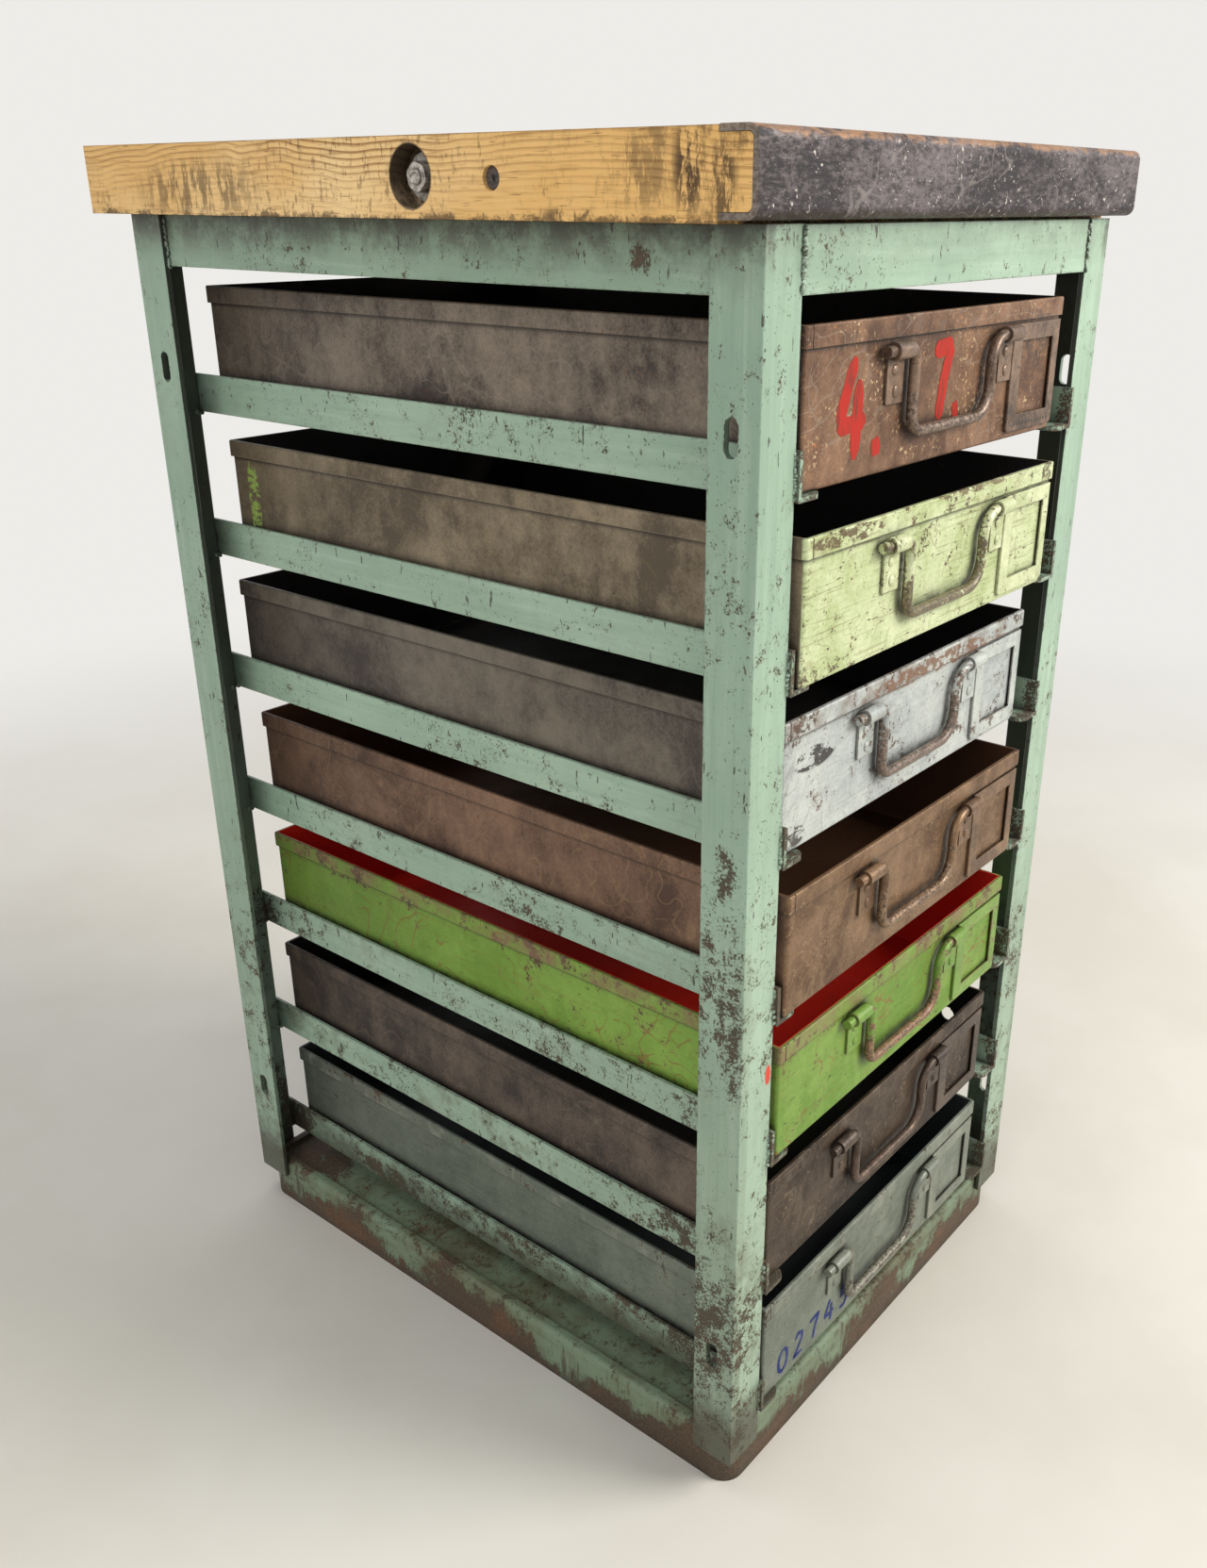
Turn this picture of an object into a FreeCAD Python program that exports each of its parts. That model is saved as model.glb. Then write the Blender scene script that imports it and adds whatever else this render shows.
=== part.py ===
import FreeCAD, Part
import math
import os

# Welded steel rack with a wooden top and seven loose sheet-steel drawers.
# All lengths are millimetres. +Z is up, the drawer fronts face -Y and +X is to the right.
# The origin lies on the floor, under the middle of the whole outline.

# Rack
frameWidth = 496.0
frameDepth = 644.0
postLeg = 40.0
postWall = 5.0
postFoot = 34.0
frameTop = 1008.0
heelDrop = 6.0
slotWidth = 10.5
slotHeight = 25.0
slotInset = 21.5
slotHighZ = 887.0
slotLowZ = 146.5
railLeg = 40.0
railWall = 4.0
railLap = 10.0
baseHeight = 50.0
baseRim = 11.0
baseCorner = 20.0
baseBend = 6.0
baseSheet = 3.0

# Drawer runners
drawerCount = 7
rowPitch = 129.8
runnerTopFace = 848.0
runnerWall = 4.0
runnerHeight = 33.0
runnerReach = 30.0
runnerProud = 3.0
runnerNose = 10.0

# Wooden top with its steel front edge
woodSide = 23.0
woodRear = 18.0
woodThick = 50.5
edgeProud = 10.0
edgeWall = 4.0
edgeReach = 27.0
edgeRadius = 7.0
edgeTop = 1059.0
edgeBottom = 1010.0
letInGap = 0.3
recessRadius = 19.7
recessDepth = 16.0
rodInset = 270.4
rodDown = 24.8
rodRadius = 5.0
rodHoleRadius = 6.0
rodEndInset = 3.0
washerRadius = 15.0
washerThick = 2.5
nutFlats = 17.0
nutThick = 8.0
plugInset = 195.0
plugDown = 26.0
plugRadius = 7.5
plugDepth = 18.0
plugSunk = 2.5

# Drawers
drawerRoomLeft = 5.0
drawerRoomRight = 35.0
drawerLength = 620.0
drawerHeight = 103.0
sheet = 1.5
bendRadius = 3.0
hemHeight = 14.0
hemGap = 0.5
lapLength = 33.0
seamInset = 7.5
seamWidth = 0.8
frontOut = [1.0, 8.0, -3.5, 6.5, 4.0, -1.5, 0.5]
sideHoleCut = [False, False, False, False, False, True, False]
sideHoleRadius = 7.5
sideHoleBack = 36.0
sideHoleDown = 39.0

# Drop handle, its knuckle straps and the label frame
strapAside = 6.3
strapSpacing = 166.0
strapWidth = 22.0
strapWall = 2.0
strapDrop = 57.0
barrelDown = 22.0
barrelRadius = 6.0
rollSlit = 0.8
bailRadius = 4.0
bailClear = 0.1
bailHalf = 58.0
bailDrop = 56.0
bailReach = 97.0
bailTightBend = 7.0
bailLowLeftBend = 12.0
bailLowRightBend = 22.0
bailHighRightBend = 20.0
labelGap = 0.3
labelMargin = 5.4
labelHeight = 81.0
labelDown = 16.5
windowInLeft = 15.0
windowInRight = 11.5
windowInTop = 12.5
windowInBottom = 12.5
labelSheet = 1.2
labelRaise = 2.8
labelCorner = 4.0

# The drawers fill the room between the posts, and their fittings follow their width.
drawerLeft = postLeg + drawerRoomLeft
drawerWidth = frameWidth - 2 * postLeg - drawerRoomLeft - drawerRoomRight
bailMiddle = drawerWidth / 2
strapMiddle = bailMiddle + strapAside
labelStart = strapMiddle + (strapSpacing + strapWidth) / 2 + labelGap
labelWidth = drawerWidth - labelMargin - labelStart

# Heights in the wooden top, and the runners' length from front post to rear post.
woodTopFace = frameTop + woodThick
rodZ = woodTopFace - rodDown
plugZ = woodTopFace - plugDown
runnerLength = frameDepth

# The outline runs from the foremost knuckle to the rear edge of the wooden top.
hemProud = sheet + hemGap
rollFront = 2 * barrelRadius - hemProud
outlineFront = max(frontOut) + rollFront
postFace = -(outlineFront + frameDepth + woodRear) / 2 + outlineFront
leftFace = -frameWidth / 2


def vec(x, y, z):
    return FreeCAD.Vector(x, y, z)


def atX(x):
    return leftFace + x


def atY(y):
    return postFace + y


def block(x0, x1, y0, y1, z0, z1):
    box = Part.makeBox(x1 - x0, y1 - y0, z1 - z0)
    box.translate(vec(atX(x0), atY(y0), z0))
    return box


def roundedWire(corners):
    # Each corner is a point with the radius of its rounding.
    count = len(corners)
    edges = []
    ends = []
    for i in range(count):
        here, radius = corners[i]
        before = corners[i - 1][0]
        after = corners[(i + 1) % count][0]
        toBefore = (before - here).normalize()
        toAfter = (after - here).normalize()
        if radius <= 0:
            ends.append((here, here))
            continue
        half = toBefore.getAngle(toAfter) / 2
        reach = radius / math.tan(half)
        first = here + toBefore * reach
        last = here + toAfter * reach
        inward = (toBefore + toAfter).normalize()
        middle = here + inward * (radius / math.sin(half) - radius)
        edges.append(Part.Arc(first, middle, last).toShape())
        ends.append((first, last))
    for i in range(count):
        start = ends[i][1]
        stop = ends[(i + 1) % count][0]
        if (stop - start).Length > 1e-6:
            edges.append(Part.LineSegment(start, stop).toShape())
    return Part.Wire(Part.__sortEdges__(edges))


def bar(corners, direction):
    return Part.Face(roundedWire(corners)).extrude(direction)


def flatEdges(shape, z):
    return [edge for edge in shape.Edges if edge.BoundBox.ZLength < 0.01 and abs(edge.BoundBox.ZMin - z) < 0.01]


def mirroredX(shape):
    return shape.mirror(vec(0, 0, 0), vec(1, 0, 0))


def mirroredDepth(shape):
    return shape.mirror(vec(0, atY(frameDepth / 2), 0), vec(0, 1, 0))


def obround(y, z):
    half = slotHeight / 2 - slotWidth / 2
    corners = [
        (vec(leftFace - 1, atY(y - slotWidth / 2), z - half - slotWidth / 2), slotWidth / 2 - 0.01),
        (vec(leftFace - 1, atY(y + slotWidth / 2), z - half - slotWidth / 2), slotWidth / 2 - 0.01),
        (vec(leftFace - 1, atY(y + slotWidth / 2), z + half + slotWidth / 2), slotWidth / 2 - 0.01),
        (vec(leftFace - 1, atY(y - slotWidth / 2), z + half + slotWidth / 2), slotWidth / 2 - 0.01),
    ]
    return bar(corners, vec(postWall + 2, 0, 0))


def post():
    # Front left angle post: one leg faces the front and one faces the side.
    x = leftFace
    y = postFace
    corners = [
        (vec(x, y, postFoot), 1.2),
        (vec(x + postLeg, y, postFoot), 0.6),
        (vec(x + postLeg, y + postWall, postFoot), 2.0),
        (vec(x + postWall, y + postWall, postFoot), 3.0),
        (vec(x + postWall, y + postLeg, postFoot), 2.0),
        (vec(x, y + postLeg, postFoot), 0.6),
    ]
    body = bar(corners, vec(0, 0, frameTop - postFoot))
    body = body.cut(obround(slotInset, slotHighZ))
    body = body.cut(obround(slotInset, slotLowZ))
    # The top of the heel is ground down at a slant.
    reach = 4 * postLeg
    cutter = Part.makeBox(reach, reach, postLeg)
    cutter.translate(vec(-reach / 2, 0, 0))
    tilt = math.degrees(math.atan2(heelDrop, postLeg / math.sqrt(2)))
    cutter.rotate(vec(0, 0, 0), vec(1, 0, 0), tilt)
    cutter.rotate(vec(0, 0, 0), vec(0, 0, 1), 135)
    cutter.translate(vec(x + postLeg / 2, y + postLeg / 2, frameTop))
    return body.cut(cutter)


def angleAlongX(length, x, y, z, leg, wall):
    # Upright leg at the front, flat leg at the top running back.
    corners = [
        (vec(x, y, z), 1.0),
        (vec(x, y + leg, z), 0.6),
        (vec(x, y + leg, z - wall), 1.5),
        (vec(x, y + wall, z - wall), 2.5),
        (vec(x, y + wall, z - leg), 1.5),
        (vec(x, y, z - leg), 0.6),
    ]
    return bar(corners, vec(length, 0, 0))


def topRailFront():
    length = frameWidth - 2 * postLeg
    return angleAlongX(length, atX(postLeg), atY(0), frameTop, railLeg, railWall)


def topRailLeft():
    x = atX(postWall)
    y = atY(postLeg - railLap)
    flat = postLeg - postWall
    corners = [
        (vec(x, y, frameTop), 1.0),
        (vec(x + flat, y, frameTop), 0.6),
        (vec(x + flat, y, frameTop - railWall), 1.5),
        (vec(x + railWall, y, frameTop - railWall), 2.5),
        (vec(x + railWall, y, frameTop - railLeg), 1.5),
        (vec(x, y, frameTop - railLeg), 0.6),
    ]
    return bar(corners, vec(0, frameDepth - 2 * (postLeg - railLap), 0))


def roundedPlate(inset, corner, z0, z1):
    x0 = atX(inset)
    x1 = atX(frameWidth - inset)
    y0 = atY(inset)
    y1 = atY(frameDepth - inset)
    corners = [
        (vec(x0, y0, z0), corner),
        (vec(x1, y0, z0), corner),
        (vec(x1, y1, z0), corner),
        (vec(x0, y1, z0), corner),
    ]
    return bar(corners, vec(0, 0, z1 - z0))


def baseRing():
    # Upright wall with a narrow rim turned in along its top.
    outer = roundedPlate(postWall, baseCorner, 0, baseHeight)
    outer = outer.makeFillet(baseBend, flatEdges(outer, baseHeight))
    under = roundedPlate(postWall + railWall, baseCorner - railWall, -1, baseHeight - railWall)
    under = under.makeFillet(baseBend - railWall, flatEdges(under, baseHeight - railWall))
    inner = roundedPlate(postWall + baseRim, baseCorner - baseRim, -1, baseHeight + 1)
    return outer.cut(under).cut(inner)


def basePlate():
    # Sheet welded under the rim, a step lower than its top.
    top = baseHeight - railWall
    return roundedPlate(postWall + baseBend, baseCorner - baseBend, top - baseSheet, top)


def mitreWedge(corners):
    points = [vec(px, py, -1) for px, py in corners]
    points.append(points[0])
    return Part.Face(Part.makePolygon(points)).extrude(vec(0, 0, baseHeight + 2))


def baseRails():
    ring = baseRing()
    half = frameWidth / 2 + 10
    front = atY(-10)
    rear = atY(frameDepth + 10)
    nearMid = front + half
    farMid = rear - half
    wedges = {
        "front": [(-half, front), (half, front), (0, nearMid)],
        "rear": [(-half, rear), (0, farMid), (half, rear)],
        "left": [(-half, front), (0, nearMid), (0, farMid), (-half, rear)],
        "right": [(half, front), (half, rear), (0, farMid), (0, nearMid)],
    }
    return {side: ring.common(mitreWedge(wedge)) for side, wedge in wedges.items()}


def runnerLeft(row):
    # Upright leg welded to the edges of the posts, flat leg turned in under the drawer.
    x = atX(postLeg)
    y = atY(-runnerProud)
    z = runnerTopFace - row * rowPitch - runnerWall
    corners = [
        (vec(x, y, z), 1.0),
        (vec(x + runnerReach, y, z), 0.6),
        (vec(x + runnerReach, y, z + runnerWall), 1.2),
        (vec(x + runnerWall, y, z + runnerWall), 0),
        (vec(x + runnerWall, y, z + runnerHeight), 1.2),
        (vec(x, y, z + runnerHeight), 0.6),
    ]
    body = bar(corners, vec(0, runnerLength + runnerProud, 0))
    nose = [
        (vec(x + runnerReach - runnerNose, y - 1, z - 1), 0),
        (vec(x + runnerReach + 1, y - 1, z - 1), 0),
        (vec(x + runnerReach + 1, y + runnerNose, z - 1), 0),
        (vec(x + runnerReach, y + runnerNose, z - 1), 0),
        (vec(x + runnerReach, y, z - 1), runnerNose - 0.01),
        (vec(x + runnerReach - runnerNose, y, z - 1), 0),
    ]
    return body.cut(bar(nose, vec(0, 0, runnerWall + 2)))


def runnerPair(row):
    left = runnerLeft(row)
    return Part.makeCompound([left, mirroredX(left)])


def edgeChannel():
    # Bent plate that wraps the front of the wood, open towards the rear.
    x = atX(-woodSide)
    y = atY(-edgeProud)
    back = y + edgeReach
    inner = edgeRadius - edgeWall
    corners = [
        (vec(x, y, edgeBottom), edgeRadius),
        (vec(x, y, edgeTop), edgeRadius),
        (vec(x, back, edgeTop), 0.8),
        (vec(x, back, edgeTop - edgeWall), 0.8),
        (vec(x, y + edgeWall, edgeTop - edgeWall), inner),
        (vec(x, y + edgeWall, edgeBottom + edgeWall), inner),
        (vec(x, back, edgeBottom + edgeWall), 0.8),
        (vec(x, back, edgeBottom), 0.8),
    ]
    return bar(corners, vec(frameWidth + 2 * woodSide, 0, 0))


def cylinderX(x0, x1, y, z, radius):
    return Part.makeCylinder(radius, x1 - x0, vec(x0, y, z), vec(1, 0, 0))


def woodTop():
    x0 = -woodSide
    x1 = frameWidth + woodSide
    top = frameTop + woodThick
    face = edgeWall - edgeProud
    lip = edgeReach - edgeProud + letInGap
    underTop = edgeTop - edgeWall - letInGap
    overBottom = edgeBottom + edgeWall + letInGap
    body = block(x0, x1, face, frameDepth + woodRear, frameTop, top)
    body = body.cut(block(x0 - 1, x1 + 1, face - 1, lip, underTop, top + 1))
    body = body.cut(block(x0 - 1, x1 + 1, face - 1, lip, frameTop - 1, overBottom))
    noseEdges = []
    for edge in body.Edges:
        box = edge.BoundBox
        alongX = box.XLength > frameWidth
        atFace = abs(box.YMin - atY(face)) < 0.01 and box.YLength < 0.01
        if alongX and atFace:
            noseEdges.append(edge)
    body = body.makeFillet(edgeRadius - edgeWall + 0.6, noseEdges)
    for side in (-1, 1):
        outer = side * (frameWidth / 2 + woodSide)
        inner = outer - side * recessDepth
        low = min(inner, outer + side)
        high = max(inner, outer + side)
        body = body.cut(cylinderX(low, high, atY(rodInset), rodZ, recessRadius))
    reach = frameWidth / 2 + woodSide
    body = body.cut(cylinderX(-reach, reach, atY(rodInset), rodZ, rodHoleRadius))
    return body.cut(cylinderX(-reach - 1, -reach + plugDepth, atY(plugInset), plugZ, plugRadius))


def tieRod():
    reach = frameWidth / 2 + woodSide - rodEndInset
    body = cylinderX(-reach, reach, atY(rodInset), rodZ, rodRadius)
    ends = [edge for edge in body.Edges if edge.BoundBox.XLength < 0.01]
    return body.makeChamfer(1.0, ends)


def tieWashers():
    outer = frameWidth / 2 + woodSide - recessDepth
    rings = []
    for side in (-1, 1):
        low = min(side * outer, side * (outer + washerThick))
        disc = cylinderX(low, low + washerThick, atY(rodInset), rodZ, washerRadius)
        rings.append(disc.cut(cylinderX(low - 1, low + washerThick + 1, atY(rodInset), rodZ, rodRadius)))
    return Part.makeCompound(rings)


def hexNut(low):
    points = []
    for i in range(6):
        angle = math.radians(60 * i + 12)
        across = nutFlats / 2 / math.cos(math.radians(30))
        points.append(vec(low, atY(rodInset) + across * math.sin(angle), rodZ + across * math.cos(angle)))
    points.append(points[0])
    body = Part.Face(Part.makePolygon(points)).extrude(vec(nutThick, 0, 0))
    cone = nutFlats / 2 + 2.2
    trim = Part.makeCone(cone - 1.6, cone, nutThick / 2, vec(low, atY(rodInset), rodZ), vec(1, 0, 0))
    other = Part.makeCone(cone, cone - 1.6, nutThick / 2, vec(low + nutThick / 2, atY(rodInset), rodZ), vec(1, 0, 0))
    body = body.common(trim.fuse(other))
    return body.cut(cylinderX(low - 1, low + nutThick + 1, atY(rodInset), rodZ, rodRadius))


def tieNuts():
    start = frameWidth / 2 + woodSide - recessDepth + washerThick
    return Part.makeCompound([hexNut(-start - nutThick), hexNut(start)])


def holePlug():
    outer = -frameWidth / 2 - woodSide
    body = cylinderX(outer + plugSunk, outer + plugDepth, atY(plugInset), plugZ, plugRadius)
    rim = [edge for edge in body.Edges if abs(edge.BoundBox.XMax - outer - plugSunk) < 0.01]
    return body.makeChamfer(1.0, rim)


def hemTop(row):
    return runnerTopFace - row * rowPitch + drawerHeight


def drawerPlate(inset, y0, corner, z0, z1):
    x0 = atX(drawerLeft + inset)
    x1 = atX(drawerLeft + drawerWidth - inset)
    front = y0 + inset
    rear = y0 + drawerLength - inset
    corners = [
        (vec(x0, front, z0), corner),
        (vec(x1, front, z0), corner),
        (vec(x1, rear, z0), corner),
        (vec(x0, rear, z0), corner),
    ]
    return bar(corners, vec(0, 0, z1 - z0))


def drawerShell(y0, low, top):
    # Walls and floor bent from one sheet, with the rim folded outward into a hem.
    outer = drawerPlate(hemProud, y0, bendRadius, low, top)
    outer = outer.makeFillet(bendRadius, flatEdges(outer, low))
    hem = drawerPlate(0, y0, bendRadius, top - hemHeight, top)
    hem = hem.makeFillet(sheet - 0.1, flatEdges(hem, top))
    hemVoid = drawerPlate(sheet, y0, bendRadius - hemGap, top - hemHeight - 1, top - sheet)
    hemVoid = hemVoid.cut(drawerPlate(hemProud, y0, bendRadius, top - hemHeight - 2, top))
    inner = drawerPlate(hemProud + sheet, y0, bendRadius - sheet, low + sheet, top + 1)
    inner = inner.makeFillet(bendRadius - sheet, flatEdges(inner, low + sheet))
    return outer.fuse(hem).cut(hemVoid).cut(inner)


def cornerLap(x0, x1, y0, y1, low, top):
    # Tongue of the end wall folded along the inside of the side wall.
    z0 = low + bendRadius
    z1 = top - hemHeight - 2
    return block(x0, x1, y0 - postFace, y1 - postFace, z0, z1)


def drawerBox(row):
    top = hemTop(row)
    low = top - drawerHeight
    y0 = atY(-frontOut[row])
    body = drawerShell(y0, low, top)
    wallLeft = drawerLeft + hemProud + sheet
    wallRight = drawerLeft + drawerWidth - hemProud - sheet
    wallFront = y0 + hemProud + sheet / 2
    wallRear = y0 + drawerLength - hemProud - sheet / 2
    for x0, x1 in ((wallLeft - 0.2, wallLeft + sheet), (wallRight - sheet, wallRight + 0.2)):
        body = body.fuse(cornerLap(x0, x1, wallFront, y0 + lapLength, low, top))
        body = body.fuse(cornerLap(x0, x1, y0 + drawerLength - lapLength, wallRear, low, top))
    # The side hem laps round the left front corner, so the front hem starts at a seam.
    seam = drawerLeft + seamInset
    seamFront = y0 - postFace
    body = body.cut(block(seam, seam + seamWidth, seamFront - 1, seamFront + sheet - 0.3, top - hemHeight, top + 1))
    if sideHoleCut[row]:
        z = top - sideHoleDown
        right = atX(drawerLeft + drawerWidth)
        body = body.cut(cylinderX(right - 10, right + 10, y0 + sideHoleBack, z, sideHoleRadius))
    return body.removeSplitter()


def wallFace(row):
    return atY(-frontOut[row]) + hemProud


def axisY(row):
    return wallFace(row) - barrelRadius


def axisZ(row):
    return hemTop(row) - barrelDown


def knuckleStrap(row, middle):
    x0 = atX(drawerLeft + middle - strapWidth / 2)
    y = wallFace(row)
    z = axisZ(row)
    low = hemTop(row) - strapDrop
    corners = [
        (vec(x0, y - strapWall, low), 1.5),
        (vec(x0 + strapWidth, y - strapWall, low), 1.5),
        (vec(x0 + strapWidth, y - strapWall, z), 0),
        (vec(x0, y - strapWall, z), 0),
    ]
    plate = bar(corners, vec(0, strapWall, 0))
    roll = cylinderX(x0, x0 + strapWidth, axisY(row), z, barrelRadius)
    body = plate.fuse(roll)
    body = body.cut(cylinderX(x0 - 1, x0 + strapWidth + 1, axisY(row), z, bailRadius + bailClear))
    # The roll stops just short of the plate.
    slit = Part.makeBox(strapWidth + 2, rollSlit, barrelRadius)
    slit.translate(vec(x0 - 1, y - strapWall - rollSlit, z - barrelRadius - 0.5))
    return body.cut(slit)


def strapPair(row):
    left = knuckleStrap(row, strapMiddle - strapSpacing / 2)
    right = knuckleStrap(row, strapMiddle + strapSpacing / 2)
    return Part.makeCompound([left, right])


def bentRod(points, radii, thickness):
    edges = []
    start = points[0]
    for i in range(1, len(points) - 1):
        here = points[i]
        toBefore = (points[i - 1] - here).normalize()
        toAfter = (points[i + 1] - here).normalize()
        radius = radii[i - 1]
        half = toBefore.getAngle(toAfter) / 2
        first = here + toBefore * (radius / math.tan(half))
        last = here + toAfter * (radius / math.tan(half))
        middle = here + (toBefore + toAfter).normalize() * (radius / math.sin(half) - radius)
        edges.append(Part.LineSegment(start, first).toShape())
        edges.append(Part.Arc(first, middle, last).toShape())
        start = last
    edges.append(Part.LineSegment(start, points[-1]).toShape())
    path = Part.Wire(edges)
    ring = Part.Wire([Part.makeCircle(thickness, points[0], points[1] - points[0])])
    return path.makePipeShell([ring], True, True)


def bail(row):
    middle = atX(drawerLeft + bailMiddle)
    y = axisY(row)
    z = axisZ(row)
    points = [
        vec(middle - bailReach, y, z),
        vec(middle - bailHalf, y, z),
        vec(middle - bailHalf, y, z - bailDrop),
        vec(middle + bailHalf, y, z - bailDrop),
        vec(middle + bailHalf, y, z),
        vec(middle + bailReach, y, z),
    ]
    bends = [bailTightBend, bailLowLeftBend, bailLowRightBend, bailHighRightBend]
    return bentRod(points, bends, bailRadius)


def labelFrame(row):
    # Shallow tray with a window, turned down on all four sides on to the drawer front.
    y = wallFace(row)
    x0 = atX(drawerLeft + labelStart)
    x1 = x0 + labelWidth
    z1 = hemTop(row) - labelDown
    z0 = z1 - labelHeight

    def plate(inset, corner, y0, y1):
        corners = [
            (vec(x0 + inset, y0, z0 + inset), corner),
            (vec(x1 - inset, y0, z0 + inset), corner),
            (vec(x1 - inset, y0, z1 - inset), 0),
            (vec(x0 + inset, y0, z1 - inset), 0),
        ]
        return bar(corners, vec(0, y1 - y0, 0))

    body = plate(0, labelCorner, y - labelRaise, y)
    faceEdges = [edge for edge in body.Edges if abs(edge.BoundBox.YMax - (y - labelRaise)) < 0.01]
    body = body.makeFillet(0.9, faceEdges)
    body = body.cut(plate(labelSheet, labelCorner - labelSheet, y - labelRaise + labelSheet, y + 1))
    wide = labelWidth - windowInLeft - windowInRight
    high = labelHeight - windowInTop - windowInBottom
    window = Part.makeBox(wide, labelRaise + 2, high)
    window.translate(vec(x0 + windowInLeft, y - labelRaise - 1, z0 + windowInBottom))
    return body.cut(window)


def save(name, shape):
    for solid in shape.Solids:
        if not solid.isValid():
            raise ValueError(name + " has a faulty solid")
    shape.exportStep("parts/" + name + ".step")


def main():
    os.makedirs("parts", exist_ok=True)
    corner = post()
    save("post_front_left", corner)
    save("post_front_right", mirroredX(corner))
    save("post_rear_left", mirroredDepth(corner))
    save("post_rear_right", mirroredX(mirroredDepth(corner)))
    save("top_rail_front", topRailFront())
    save("top_rail_rear", mirroredDepth(topRailFront()))
    save("top_rail_left", topRailLeft())
    save("top_rail_right", mirroredX(topRailLeft()))
    for side, rail in baseRails().items():
        save("base_rail_" + side, rail)
    save("base_plate", basePlate())
    save("wood_top", woodTop())
    save("steel_edge", edgeChannel())
    save("tie_rod", tieRod())
    save("tie_washers", tieWashers())
    save("tie_nuts", tieNuts())
    save("hole_plug", holePlug())
    for row in range(drawerCount):
        number = str(row + 1)
        save("runners_" + number, runnerPair(row))
        save("drawer_" + number + "_box", drawerBox(row))
        save("drawer_" + number + "_label", labelFrame(row))
        save("drawer_" + number + "_straps", strapPair(row))
        save("drawer_" + number + "_bail", bail(row))


main()
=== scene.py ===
import math
import random

import bmesh
import bpy
from mathutils import Matrix, Vector


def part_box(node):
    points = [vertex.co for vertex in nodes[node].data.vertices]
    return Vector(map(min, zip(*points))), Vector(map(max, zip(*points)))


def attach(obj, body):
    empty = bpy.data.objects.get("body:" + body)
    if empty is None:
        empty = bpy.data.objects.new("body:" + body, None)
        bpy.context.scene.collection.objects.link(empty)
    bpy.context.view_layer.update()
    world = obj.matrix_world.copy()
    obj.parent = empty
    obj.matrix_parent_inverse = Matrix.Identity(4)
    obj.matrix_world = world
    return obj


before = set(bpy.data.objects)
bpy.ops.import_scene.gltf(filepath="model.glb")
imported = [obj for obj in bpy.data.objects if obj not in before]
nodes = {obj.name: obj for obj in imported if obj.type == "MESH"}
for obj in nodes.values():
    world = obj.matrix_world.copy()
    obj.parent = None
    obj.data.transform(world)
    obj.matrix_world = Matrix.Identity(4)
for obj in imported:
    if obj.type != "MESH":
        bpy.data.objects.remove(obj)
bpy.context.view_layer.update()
drawerNumbers = range(1, 8)
mm = 0.001


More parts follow.
